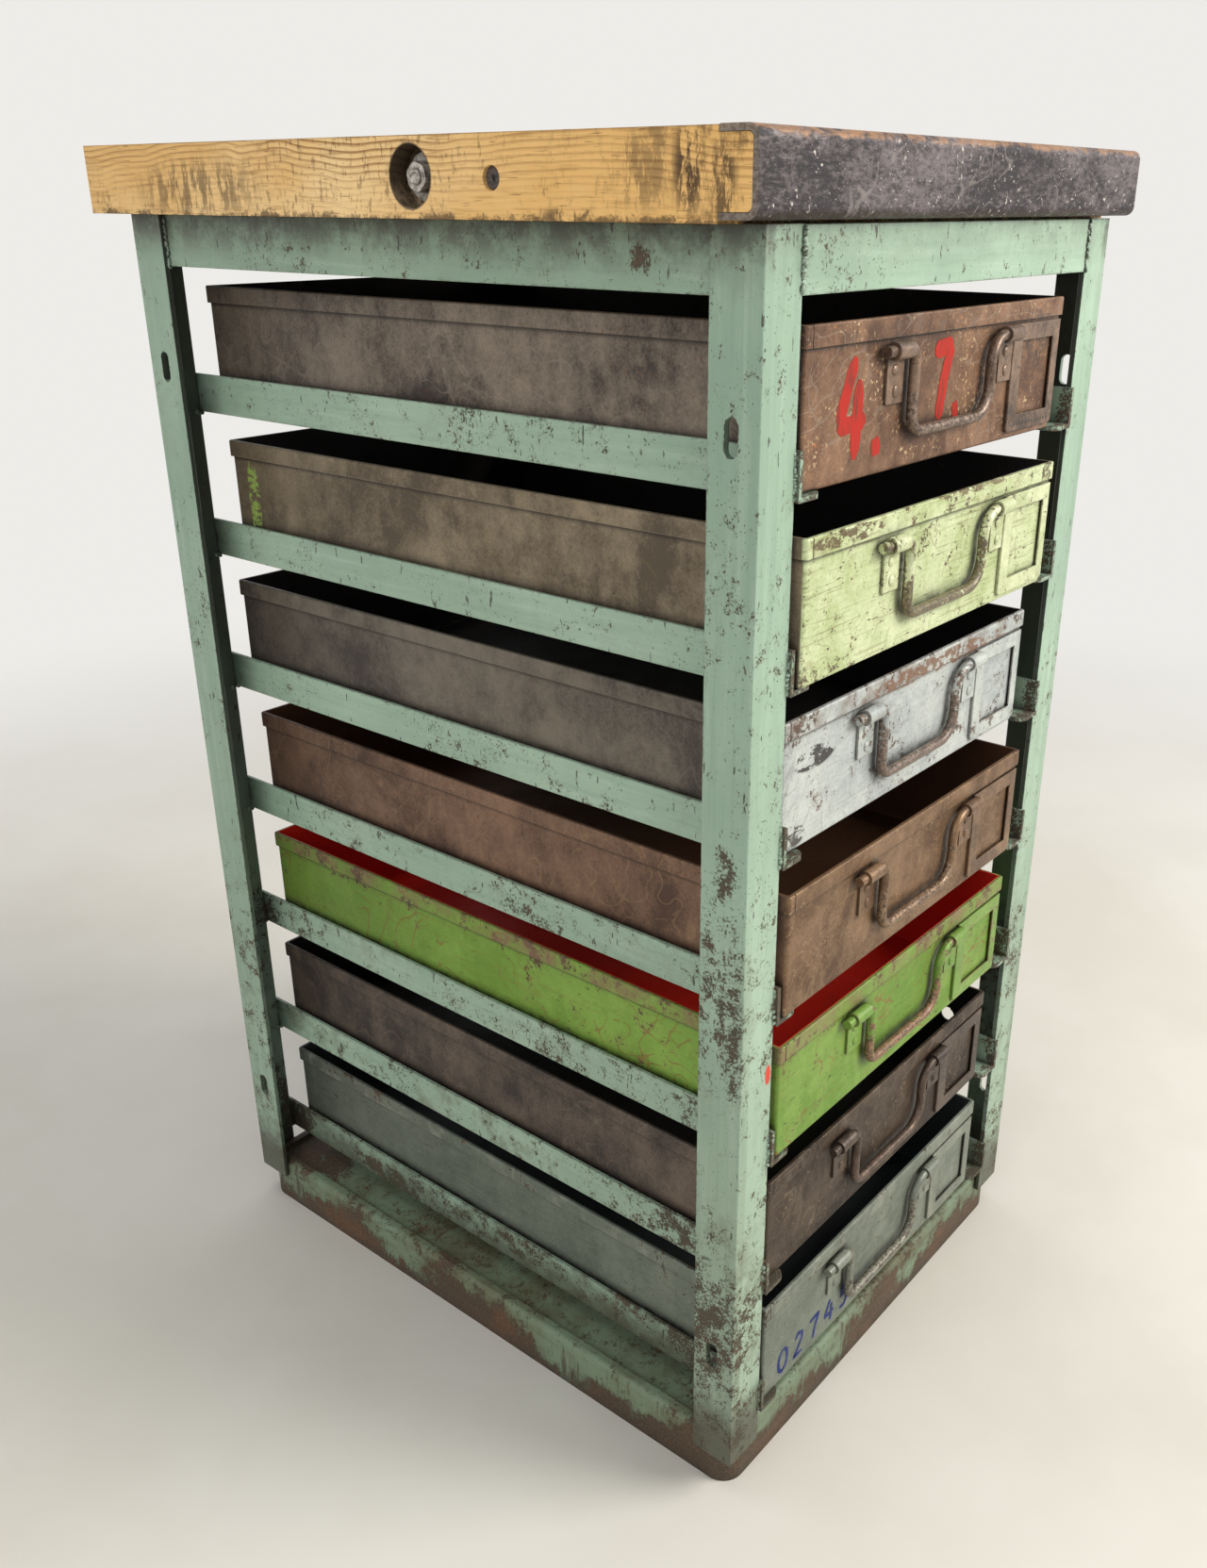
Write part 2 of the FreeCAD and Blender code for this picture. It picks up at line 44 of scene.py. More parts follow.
# Node building
class Net:
    # Adds nodes to a tree and feeds each input with a value or a link. Textures sit at its place.
    def __init__(self, tree):
        self.tree = tree
        self.place = None
        self.colour = None

    def add(self, kind, feeds=None, **settings):
        made = self.tree.nodes.new(kind)
        for name, value in settings.items():
            setattr(made, name, value)
        for name, value in (feeds or {}).items():
            self.feed(made.inputs[name], value)
        return made

    def feed(self, socket, value):
        if isinstance(value, bpy.types.NodeSocket):
            self.tree.links.new(value, socket)
        else:
            socket.default_value = value

    def noise(self, scale, detail=4, rough=0.55, twist=0, at=None):
        feeds = {"Scale": scale, "Detail": detail, "Roughness": rough, "Distortion": twist}
        return self.add("ShaderNodeTexNoise", {"Vector": at or self.place, **feeds}).outputs[0]

    def drawn(self, sizes, *rest):
        # Noise drawn out along the axes whose size is below 1
        return self.noise(*rest, at=self.stretch(sizes))

    def cells(self, scale):
        feeds = {"Vector": self.place, "Scale": scale, "Randomness": 1}
        return self.add("ShaderNodeTexVoronoi", feeds).outputs["Distance"]

    def stretch(self, sizes, shift=(0, 0, 0)):
        feeds = {"Vector": self.place, "Scale": sizes, "Location": shift}
        return self.add("ShaderNodeMapping", feeds).outputs[0]

    def calc(self, how, a, b=0, c=0, clamp=False):
        feeds = {0: a, 1: b, 2: c}
        return self.add("ShaderNodeMath", feeds, operation=how, use_clamp=clamp).outputs[0]

    def times(self, a, b, clamp=False):
        return self.calc("MULTIPLY", a, b, clamp=clamp)

    def scaled(self, a, b, base, clamp=False):
        return self.calc("MULTIPLY_ADD", a, b, base, clamp=clamp)

    def most(self, a, b, clamp=False):
        return self.calc("MAXIMUM", a, b, clamp=clamp)

    def less(self, a, b, clamp=False):
        return self.calc("SUBTRACT", a, b, clamp=clamp)

    def sway(self, noise, strength, base):
        # A noise about its middle, added to a base.
        return self.scaled(self.less(noise, 0.5), strength, base)

    def radius(self, a, b):
        return self.calc("SQRT", self.calc("ADD", self.times(a, a), self.times(b, b)))

    def step(self, value, low, high, toLow=0, toHigh=1):
        feeds = {"Value": value, "From Min": low, "From Max": high, "To Min": toLow, "To Max": toHigh}
        return self.add("ShaderNodeMapRange", feeds, interpolation_type="SMOOTHSTEP").outputs[0]

    def blend(self, amount, a, b):
        made = self.add("ShaderNodeMix", data_type="RGBA")
        for index, value in ((0, amount), (6, a), (7, b)):
            self.feed(made.inputs[index], value)
        return made.outputs[2]

    def coat(self, mask, paint, share=None):
        # A paint over the colour so far, as strong as the mask times its share
        amount = mask if share is None else self.times(mask, share)
        self.colour = self.blend(amount, self.colour, paint)

    def axes(self, vector=None):
        return self.add("ShaderNodeSeparateXYZ", {"Vector": vector or self.place}).outputs

    def facing(self):
        return self.add("ShaderNodeNewGeometry").outputs["True Normal"]

    def length(self, place):
        made = self.add("ShaderNodeVectorMath", {0: place}, operation="LENGTH")
        return made.outputs["Value"]

    def spot(self, at, reach):
        # 1 in the middle of an ellipsoid and 0 outside it
        sizes = tuple(1 / size for size in reach)
        shift = tuple(-middle / size for middle, size in zip(at, reach))
        return self.step(self.length(self.stretch(sizes, shift)), 1, 0.35)

    def shared(self, name, **feeds):
        feeds["Place"] = self.place
        return self.add("ShaderNodeGroup", feeds, node_tree=sharedGroups[name]).outputs

    def mask(self, name, **feeds):
        return self.shared(name, **feeds)["Mask"]

    def surface(self, relief, depth, strength, rough=None):
        # The colour so far, a gloss and a fine relief whose depth is in metres
        self.feed(self.shader.inputs["Base Color"], self.colour)
        if rough is not None:
            self.feed(self.shader.inputs["Roughness"], rough)
        bump = self.add("ShaderNodeBump", {"Height": relief, "Distance": depth, "Strength": strength})
        self.feed(self.shader.inputs["Normal"], bump.outputs[0])


def rgb(red, green, blue):
    # Colours are picked on screen in 0 to 255 and turned to linear light.
    linear = []
    for value in (red, green, blue):
        share = value / 255
        linear.append(share / 12.92 if share <= 0.04045 else ((share + 0.055) / 1.055) ** 2.4)
    return (*linear, 1)


def addSocket(tree, name, way, kind, value=None):
    socket = tree.interface.new_socket(name, in_out=way, socket_type="NodeSocket" + kind)
    if value is not None:
        socket.default_value = value


def newGroup(name, ins, outs):
    tree = bpy.data.node_groups.new(name, "ShaderNodeTree")
    addSocket(tree, "Place", "INPUT", "Vector")
    for socketName, value in ins.items():
        addSocket(tree, socketName, "INPUT", "Color" if isinstance(value, tuple) else "Float", value)
    for socketName in outs:
        addSocket(tree, socketName, "OUTPUT", "Color" if socketName == "Color" else "Float")
    net = Net(tree)
    given = net.add("NodeGroupInput").outputs
    net.place = given["Place"]
    return net, given, net.add("NodeGroupOutput").inputs


def buildEdgeFinder():
    # Bright where two faces meet at a corner, broken up by a noise.
    net, given, out = newGroup("edgeFinder", {"Radius": 0.002, "Breakup": 0.5}, ["Mask"])
    flat = net.facing()
    soft = net.add("ShaderNodeBevel", {"Radius": given["Radius"]}, samples=6).outputs[0]
    alike = net.add("ShaderNodeVectorMath", {0: flat, 1: soft}, operation="DOT_PRODUCT").outputs["Value"]
    bend = net.step(alike, 0.995, 0.86)
    torn = net.noise(160, 5, 0.65)
    cut = net.times(given["Breakup"], net.step(torn, 0.62, 0.36))
    net.feed(out["Mask"], net.less(bend, cut, clamp=True))
    return net.tree


def buildPaintLoss():
    # Chips of missing paint: fine pepper that joins into ragged islands near edges and in worn zones.
    ins = {"Size": 70, "Amount": 0.3, "Edge": 0, "Zone": 0}
    net, given, out = newGroup("paintLoss", ins, ["Mask", "Rim"])
    size = given["Size"]
    broad = net.noise(7, 3, 0.6)
    middle = net.noise(net.times(size, 0.45), 5, 0.62, 0.3)
    fine = net.noise(net.times(size, 2.6), 5, 0.7)
    push = net.scaled(given["Edge"], 0.19, net.times(given["Zone"], 0.17))
    push = net.calc("ADD", push, net.times(net.less(broad, 0.5), 0.22))
    push = net.calc("ADD", push, net.times(given["Amount"], 0.1))
    value = net.calc("ADD", net.scaled(fine, 0.5, net.times(middle, 0.5)), push)
    net.feed(out["Mask"], net.step(value, 0.65, 0.668))
    net.feed(out["Rim"], net.step(value, 0.59, 0.66))
    return net.tree


def buildSpecks():
    # Small round dots of a few sizes, gathered in loose crowds.
    net, given, out = newGroup("specks", {"Size": 240, "Amount": 0.3}, ["Mask"])
    wobble = net.noise(400, 2)
    far = net.cells(given["Size"])
    crowd = net.noise(14, 4, 0.6)
    radius = net.times(net.step(crowd, net.less(0.78, given["Amount"]), 0.85), 0.36)
    radius = net.times(radius, net.step(wobble, 0.3, 0.6, 0.4, 1))
    net.feed(out["Mask"], net.step(net.less(radius, far), 0, 0.05))
    return net.tree


def buildRustTone():
    # Rust from dark brown to orange, with a grainy surface.
    net, given, out = newGroup("rustTone", {"Warmth": 0.4}, ["Color", "Grain"])
    broad = net.noise(18, 6, 0.65)
    grain = net.noise(420, 5, 0.7)
    dark = net.blend(net.step(grain, 0.35, 0.7), rgb(54, 44, 34), rgb(100, 78, 58))
    warm = net.blend(net.step(grain, 0.4, 0.75), rgb(114, 72, 44), rgb(158, 102, 60))
    share = net.times(net.step(broad, 0.46, 0.68), given["Warmth"], clamp=True)
    net.feed(out["Color"], net.blend(share, dark, warm))
    net.feed(out["Grain"], grain)
    return net.tree


def buildOldSteel():
    # Bare handled sheet steel: cloudy blotches, faint upright rubbing, smudges and rust freckles.
    ins = {"Dark": (0.05, 0.04, 0.03, 1), "Light": (0.2, 0.17, 0.15, 1), "Clouds": 9, "Rust": 0.2}
    net, given, out = newGroup("oldSteel", ins, ["Color", "Rough", "Height"])
    broad = net.noise(given["Clouds"], 5, 0.62, 0.5)
    mottled = net.noise(net.times(given["Clouds"], 5.5), 6, 0.7)
    rubbed = net.drawn((1, 1, 0.3), 90, 4, 0.6)
    grain = net.noise(520, 4, 0.7)
    tone = net.step(broad, 0.32, 0.68, 0.14, 0.86)
    for layer, strength in ((mottled, 1.5), (rubbed, 0.55), (grain, 1.3)):
        tone = net.sway(layer, strength, tone)
    aside = net.stretch((1, 1, 1), (3.1, 1.7, 0.4))
    smudge = net.step(net.noise(13, 4, 0.55, at=aside), 0.54, 0.68)
    tone = net.scaled(smudge, -0.32, tone, clamp=True)
    colour = net.blend(tone, given["Dark"], given["Light"])
    rust = net.shared("rustTone", Warmth=0.9)["Color"]
    rustAt = net.step(net.noise(32, 7, 0.7), 0.6, 0.72, 0, 0.7)
    spots = net.step(net.noise(230, 4, 0.65), 0.625, 0.66)
    rustAt = net.times(net.most(rustAt, spots), given["Rust"], clamp=True)
    net.feed(out["Color"], net.blend(rustAt, colour, rust))
    net.feed(out["Rough"], net.scaled(rustAt, 0.2, net.step(tone, 0, 1, 0.58, 0.4), clamp=True))
    net.feed(out["Height"], net.scaled(mottled, 0.6, net.times(grain, 0.3)))
    return net.tree


def buildScratches():
    # Long thin lines in three directions, each broken up where the hand missed.
    net, given, out = newGroup("scratches", {"Amount": 0.3}, ["Mask"])
    total = None
    for turn, size in (((0.5, 0.3, 0.2), 40), ((-0.8, 0.9, -0.4), 55), ((1.3, -0.5, 1.1), 47)):
        feeds = {"Vector": net.place, "Rotation": turn, "Scale": (1, 1, 90)}
        turned = net.add("ShaderNodeMapping", feeds, vector_type="TEXTURE").outputs[0]
        field = net.noise(size, 0, 0.4, at=turned)
        line = net.step(net.calc("ABSOLUTE", net.less(field, 0.5)), 0.02, 0.005)
        where = net.noise(size * 0.3, 3, 0.6)
        line = net.times(line, net.step(net.scaled(given["Amount"], 0.12, where), 0.585, 0.625))
        total = line if total is None else net.most(total, line)
    net.feed(out["Mask"], total)
    return net.tree


def buildCreviceShade():
    # Painted shade and dirt where pieces meet and in inner corners: darker where the ambient occlusion finds little
    # open space.
    net, given, out = newGroup("creviceShade", {"Reach": 0.008, "Strength": 0.8}, ["Mask"])
    openness = net.add("ShaderNodeAmbientOcclusion", {"Distance": given["Reach"]}, samples=4).outputs["AO"]
    patchy = net.step(net.noise(70, 5, 0.65), 0.35, 0.62, 0.55, 1)
    closed = net.times(net.step(openness, 0.92, 0.45), patchy)
    net.feed(out["Mask"], net.times(closed, given["Strength"], clamp=True))
    return net.tree


# Built in this order, since old steel uses the rust
builders = [buildEdgeFinder, buildPaintLoss, buildSpecks, buildRustTone, buildOldSteel, buildScratches, buildCreviceShade]
sharedGroups = {}
for build in builders:
    group = build()
    sharedGroups[group.name] = group
print("shader groups ready")


def newMaterial(name, metallic, roughness, specular):
    made = bpy.data.materials.new(name)
    made.use_nodes = True
    made.node_tree.nodes.clear()
    net = Net(made.node_tree)
    net.made = made
    feeds = {"Metallic": metallic, "Roughness": roughness, "Specular IOR Level": specular}
    net.shader = net.add("ShaderNodeBsdfPrincipled", feeds)
    net.add("ShaderNodeOutputMaterial", {"Surface": net.shader.outputs[0]})
    net.place = net.add("ShaderNodeTexCoord").outputs["Object"]
    return net


frameLook = {
    "paint": rgb(148, 173, 151),
    "faded": rgb(164, 188, 165),
    # Dull paint streaks, and painted shade on the outer side faces
    "dullAndShade": rgb(120, 144, 124),
    "grime": rgb(94, 92, 70),
    # Painted shade on the posts' inner faces, and painted shade with dirt in the crevices
    "shadeAndDirt": rgb(40, 42, 36),
    # Painted highlight on the brush streaks and the worn edges
    "lit": rgb(196, 212, 194),
    "shade": rgb(68, 66, 52),
    "oldRust": rgb(56, 53, 40),
    "foot": rgb(66, 60, 43),
    "fleck": rgb(56, 50, 40),
    "dab": rgb(206, 62, 38),
    "specks": 0.5,
    "chips": 0.42,
    "rustFrom": 0.62,
    "sideFrom": (0.237, 0.2385),
    "sideUnder": (0.2365, 0.24),
    "underPlank": (0.966, 1.004),
    "runnerNose": (-0.306, -0.319),
    "belowRails": (0.935, 0.925),
    "dabAt": ((-0.213, -0.322, 0.4134), (0.005, 0.006, 0.012)),
}

# Places where the frame's paint has gone to rust: middle and reach in metres, and how much is gone
rustPatches = [
    ((-0.248, -0.302, 0.592), (0.02, 0.014, 0.03), 0.75),
    ((-0.248, -0.311, 0.47), (0.02, 0.018, 0.085), 0.6),
    ((-0.248, -0.291, 0.509), (0.02, 0.01, 0.05), 0.35),
    ((-0.248, -0.306, 0.15), (0.02, 0.014, 0.03), 0.5),
    ((-0.235, -0.322, 0.07), (0.03, 0.02, 0.05), 0.6),
    ((-0.208, 0.3, 0.1), (0.04, 0.04, 0.11), 0.9),
    ((-0.208, -0.02, 0.086), (0.01, 0.16, 0.022), 0.6),
    ((-0.208, 0.15, 0.075), (0.01, 0.09, 0.022), 0.8),
    ((-0.243, -0.226, 0.987), (0.01, 0.016, 0.011), 0.75),
]


def rustZone(net, look, low, shadedInside):
    # Where paint gives way: the lower the place, the more, and most in the listed patches
    patch = net.step(net.noise(6.5, 5, 0.65), 0.5, 0.66)
    zone = net.times(low, net.scaled(patch, 0.55, 0.22))
    for at, reach, share in rustPatches:
        zone = net.most(zone, net.times(net.spot(at, reach), share))
    if not shadedInside:
        y, z = net.axes()[1:]
        nose = net.times(net.step(y, *look["runnerNose"]), net.step(z, *look["belowRails"]))
        zone = net.most(zone, net.times(nose, 0.75))
    return zone


def shadeInsideAndDab(net, look):
    # Painted shade on the angle's inner faces, strongest high up, and one red dab sits on the front post.
    x, y, z = net.axes()
    net.coat(net.step(net.spot(*look["dabAt"]), 0.2, 0.6), look["dab"])
    facing = net.axes(net.facing())
    inX = net.step(net.times(facing[0], x), -0.1, -0.18)
    inY = net.step(net.times(facing[1], y), -0.14, -0.24)
    inner = net.times(net.most(inX, inY), net.step(z, 0.1, 0.8, 0.45, 0.92))
    net.coat(inner, look["shadeAndDirt"])


def framePaint(name, look, streaks, shadedInside):
    # Mint paint over steel, chipped and speckled; the streaks run along the piece.
    net = newMaterial(name, 0, 0.42, 0.5)
    x, y, z = net.axes()
    aside = net.calc("ABSOLUTE", x)
    edge = net.mask("edgeFinder", Radius=0.0022, Breakup=0.7)
    low = net.step(z, look["rustFrom"], 0.04)
    zone = rustZone(net, look, low, shadedInside)
    loss = net.shared("paintLoss", Size=175, Amount=look["chips"], Edge=edge, Zone=zone)
    tiny = net.mask("specks", Size=290, Amount=net.scaled(low, 0.12, look["specks"]))
    dashes = net.step(net.drawn((1, 1, 0.3), 200, 3, 0.6), 0.675, 0.7)
    cloud = net.noise(5, 4, 0.6)
    brushed = net.drawn(streaks, 150, 4, 0.6)
    net.colour = net.blend(net.step(cloud, 0.38, 0.66), look["paint"], look["faded"])
    net.coat(net.step(brushed, 0.48, 0.72, 0, 0.28), look["dullAndShade"])
    # Painted shade: the outer side faces are made darker.
    net.coat(net.step(aside, *look["sideFrom"], 0, 0.22), look["dullAndShade"])
    # Painted highlight: pale streaks along the brush marks, and a pale rim on the edges that is partly wear and partly
    # painted highlight.
    streakHighlight = net.times(net.step(brushed, 0.46, 0.32), 0.18)
    net.coat(net.most(streakHighlight, net.times(edge, 0.35)), look["lit"])
    stain = net.step(net.noise(20, 6, 0.7), 0.48, 0.68)
    net.coat(stain, look["grime"], net.scaled(low, 0.5, 0.14))
    # Darker low down and towards the front, more so on the outer side faces.
    frontal = net.times(low, net.step(y, 0.1, -0.2))
    net.coat(frontal, look["grime"], net.step(aside, *look["sideFrom"], 0.16, 0.36))
    # Painted shadow of the plank on the frame just below it, patchy and strongest on the outer side faces.
    patchy = net.step(net.noise(34, 7, 0.72), 0.36, 0.6, 0.3, 1)
    under = net.times(net.step(z, *look["underPlank"]), patchy)
    net.coat(under, look["shade"], net.step(aside, *look["sideUnder"], 0.3, 0.85))
    net.coat(loss["Rim"], look["grime"], 0.5)
    # Painted shade and dirt in crevices and where pieces meet.
    net.coat(net.mask("creviceShade", Reach=0.014, Strength=0.75), look["shadeAndDirt"])
    rust = net.shared("rustTone", Warmth=0.25)["Color"]
    net.coat(loss["Mask"], net.blend(0.4, rust, look["oldRust"]), 0.95)
    foot = net.sway(net.noise(30, 6, 0.7), 0.09, z)
    net.coat(net.step(foot, 0.118, 0.056, 0, 0.85), look["foot"])
    dark = net.times(net.most(tiny, dashes), 0.85)
    net.coat(dark, look["fleck"])
    # Uprights only: painted shade on the inner faces.
    if shadedInside:
        shadeInsideAndDab(net, look)
    rough = net.scaled(loss["Mask"], 0.3, net.step(cloud, 0.3, 0.7, 0.34, 0.48), clamp=True)
    relief = net.scaled(net.noise(26, 3, 0.5), 0.8, net.times(brushed, 0.45))
    relief = net.scaled(net.noise(260, 3, 0.55), 0.12, relief)
    relief = net.less(relief, net.times(net.most(loss["Mask"], dark), 0.3))
    net.surface(relief, 0.001, 0.8, rough)
    return net.made


baseLook = {
    "green": rgb(118, 136, 110),
    "olive": rgb(102, 104, 78),
    "brown": rgb(72, 58, 40),
    "runs": rgb(66, 54, 40),
    "pale": rgb(176, 160, 128),
    "fleck": rgb(44, 38, 30),
    "dirt": rgb(40, 35, 27),
    "wornCorner": ((-0.21, 0.28, 0.046), (0.05, 0.09, 0.02)),
}


def basePaint(name, look, gain):
    # The base on the floor: scuffed green and olive, gone to brown rust low down and in broad patches.
    net = newMaterial(name, 0, 0.55, 0.4)
    edge = net.mask("edgeFinder", Radius=0.003, Breakup=0.7)
    height = net.axes()[2]
    broad = net.noise(10, 5, 0.65)
    runs = net.drawn((1, 1, 0.15), 105, 7, 0.75)
    torn = net.sway(broad, -0.11, net.sway(runs, 0.075, height))
    low = net.step(torn, 0.034, 0.012)
    zone = net.scaled(low, 0.95, net.times(net.step(broad, 0.46, 0.64), gain))
    zone = net.most(zone, net.spot(*look["wornCorner"]))
    loss = net.shared("paintLoss", Size=125, Amount=0.5, Edge=edge, Zone=zone)
    rust = net.shared("rustTone", Warmth=0.35)
    scuffs = net.drawn((0.12, 0.12, 1), 110, 5, 0.65)
    net.colour = net.blend(net.step(broad, 0.4, 0.62), look["green"], look["olive"])
    net.coat(net.step(scuffs, 0.5, 0.7, 0, 0.4), look["brown"])
    net.coat(low, look["brown"], 0.75)
    net.coat(net.step(runs, 0.53, 0.63, 0, 0.75), look["runs"])
    net.coat(loss["Rim"], look["brown"], 0.6)
    net.coat(loss["Mask"], rust["Color"], 0.9)
    pale = net.step(net.noise(90, 5, 0.7), 0.64, 0.69, 0, 0.6)
    net.coat(pale, look["pale"], edge)
    net.coat(net.mask("specks", Size=190, Amount=0.45), look["fleck"], 0.7)
    # Painted shade and dirt in crevices and where pieces meet.
    net.coat(net.mask("creviceShade", Reach=0.016, Strength=0.8), look["dirt"])
    rough = net.step(scuffs, 0.35, 0.65, 0.48, 0.62)
    relief = net.scaled(scuffs, 0.4, net.times(rust["Grain"], 0.3))
    relief = net.less(relief, net.times(loss["Mask"], 0.35))
    net.surface(relief, 0.0012, 0.8, rough)
    return net.made


edgeLook = {
    "dark": rgb(38, 32, 33),
    "light": rgb(114, 103, 102),
    "worn": rgb(160, 118, 80),
    "lowBrown": rgb(58, 42, 34),
    "pits": rgb(204, 194, 184),
    "cut": rgb(140, 128, 114),
    "cutDark": rgb(92, 80, 70),
    "scratch": rgb(170, 158, 150),
    "topBend": (1.0535, 1.057),
    "lowBend": (1.0165, 1.012),
}


def edgeSteel(look):
    # Bent front plate: purple-brown mill scale, pitted and scrubbed, with rubbed bends.
    net = newMaterial("edgePlateSteel", 0.45, 0.45, 0.5)
    height = net.axes()[2]
    grain = net.drawn((0.55, 1, 1.25), 330, 6, 0.75)
    mottled = net.drawn((0.55, 1, 1.25), 70, 6, 0.7)
    broad = net.drawn((0.6, 1, 1.2), 13, 5, 0.65)
    tone = net.sway(grain, 3.4, net.step(broad, 0.34, 0.72, 0.05, 0.9))
    tone = net.times(net.sway(mottled, 1.7, tone), 1, clamp=True)
    net.colour = net.blend(tone, look["dark"], look["light"])
    ragged = net.sway(mottled, 0.016, height)
    wear = net.step(net.noise(60, 7, 0.72), 0.38, 0.54)
    wear = net.times(net.step(ragged, *look["topBend"]), wear)
    net.coat(wear, look["worn"], 0.85)
    net.coat(net.step(ragged, *look["lowBend"]), look["lowBrown"], 0.8)
    pits = net.step(net.noise(300, 3, 0.6), 0.635, 0.675)
    where = net.step(net.noise(16, 4, 0.6), 0.44, 0.6)
    net.coat(net.times(pits, where), look["pits"], 0.85)
    sideways = net.calc("ABSOLUTE", net.axes(net.facing())[0])
    cutEnd = net.blend(net.step(grain, 0.35, 0.6), look["cutDark"], look["cut"])
    net.coat(net.step(sideways, 0.7, 0.9, 0, 0.8), cutEnd)
    net.coat(net.mask("scratches", Amount=0.4), look["scratch"], 0.25)
    rough = net.step(tone, 0, 1, 0.52, 0.34)
    relief = net.scaled(mottled, 0.6, net.times(grain, 0.45))
    net.surface(relief, 0.0012, 0.85, rough)
    return net.made


woodLook = {
    "early": rgb(252, 216, 157),
    "warm": rgb(232, 178, 96),
    "deep": rgb(233, 188, 120),
    "late": rgb(146, 98, 50),
    "fibre": rgb(150, 104, 56),
    "torn": rgb(112, 74, 38),
    "stain": rgb(126, 92, 58),
    "dirt": rgb(58, 40, 28),
    "oil": rgb(36, 30, 27),
    "settled": rgb(128, 110, 90),
    "pores": rgb(96, 62, 34),
    "ringWidth": 4.4 * mm,
    "topFace": (1.0576, 1.0583),
    "bottomEdge": (1.0115, 1.007),
    "recess": (21.4 * mm, 19.6 * mm),
}

# Burnt and bruised places on the plank's left side: middle, reach and strength
plankMarks = [
    ((-0.271, -0.284, 1.038), (0.06, 0.017, 0.038), 1),
    ((-0.271, -0.308, 1.03), (0.06, 0.014, 0.036), 0.9),
    ((-0.271, -0.25, 1.036), (0.06, 0.03, 0.03), 0.6),
    ((-0.271, -0.19, 1.01), (0.06, 0.03, 0.008), 0.9),
    ((-0.271, 0.19, 1.026), (0.06, 0.1, 0.028), 0.7),
]


def growthLines(net, look, top):
    # Fine lines along the depth, close together near the top and weak on the top face
    x, y, z = net.axes()
    swell = net.drawn((0.4, 1, 0.5), 3.4, 3, 0.5, 0.4)
    waver = net.drawn((1, 0.25, 1), 44, 3, 0.55)
    level = net.sway(waver, 0.004, net.sway(swell, 0.06, z))
    level = net.scaled(net.calc("ABSOLUTE", x), -0.14, level)
    phase = net.calc("FRACT", net.calc("DIVIDE", level, look["ringWidth"]))
    late = net.times(net.step(phase, 0.42, 0.9), net.step(phase, 1, 0.94))
    uneven = net.step(net.drawn((1, 0.3, 2), 12, 4, 0.6), 0.36, 0.62, 0.35, 1)
    late = net.times(net.times(late, uneven), net.step(z, 1.018, 1.05, 0.12, 1))
    return net.times(late, net.step(top, 0, 1, 1, 0.45))


def plankGrime(net, look):
    # Dirt along the bottom edge, smoke towards the front and the listed marks
    y, z = net.axes()[1:]
    ragged = net.times(net.less(net.noise(60, 8, 0.78), 0.5), 0.034)
    foot = net.step(net.calc("ADD", z, ragged), *look["bottomEdge"])
    blotch = net.step(net.drawn((1, 1, 0.6), 34, 9, 0.8), 0.5, 0.62)
    smoke = net.times(net.times(net.step(y, -0.1, -0.31), blotch), 0.7)
    marks = net.step(net.drawn((1, 1, 0.3), 130, 7, 0.75), 0.45, 0.54)
    for at, reach, share in plankMarks:
        smoke = net.most(smoke, net.times(net.times(net.spot(at, reach), share), marks))
    return net.most(net.times(foot, 0.85), smoke, clamp=True)


def woodPlank(look):
    # Old softwood with growth lines, torn fibres and cracks; the recesses are dark with old oil.
    net = newMaterial("plankWood", 0, 0.6, 0.3)
    y, z = net.axes()[1:]
    top = net.step(z, *look["topFace"])
    late = growthLines(net, look, top)
    fibre = net.drawn((1, 0.05, 1), 460, 5, 0.65)
    cloud = net.drawn((1, 0.45, 1), 8, 4, 0.6)
    torn = net.step(net.drawn((1, 1, 0.35), 330, 4, 0.7), 0.55, 0.66)
    torn = net.times(torn, net.step(net.drawn((1, 0.6, 1), 9, 4, 0.6, 0.6), 0.44, 0.6))
    net.colour = net.blend(net.step(cloud, 0.4, 0.68), look["early"], look["deep"])
    net.coat(net.step(y, 0.05, -0.26, 0, 0.7), look["warm"])
    net.coat(late, look["late"], 0.85)
    net.coat(net.step(fibre, 0.5, 0.7, 0, 0.4), look["fibre"])
    net.coat(torn, look["torn"], 0.6)
    stained = net.step(net.noise(6, 6, 0.65), 0.38, 0.66, 0.25, 0.85)
    net.coat(top, look["stain"], stained)
    net.coat(plankGrime(net, look), look["dirt"], 0.92)
    low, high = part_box("tie_washers")
    above = net.less(z, (low.z + high.z) / 2)
    far = net.radius(net.less(y, (low.y + high.y) / 2), above)
    oily = net.step(net.sway(cloud, 0.004, far), *look["recess"])
    patchy = net.step(net.noise(160, 5, 0.7), 0.4, 0.6)
    settled = net.times(net.step(above, 0.002, -0.016), patchy)
    net.coat(oily, net.blend(settled, look["oil"], look["settled"]), 0.93)
    pores = net.step(net.drawn((1, 0.05, 1), 900, 2, 0.5), 0.66, 0.72)
    net.coat(pores, look["pores"], 0.6)
    rough = net.step(fibre, 0.3, 0.7, 0.52, 0.66)
    relief = net.scaled(late, -0.3, net.times(torn, -0.5))
    net.surface(net.scaled(fibre, 0.5, relief), 0.0009, 0.8, rough)
    return net.made


fastenerLook = {
    "dark": rgb(150, 142, 130), "light": rgb(220, 214, 203), "edge": rgb(204, 198, 188), "dirt": rgb(44, 38, 33),
}


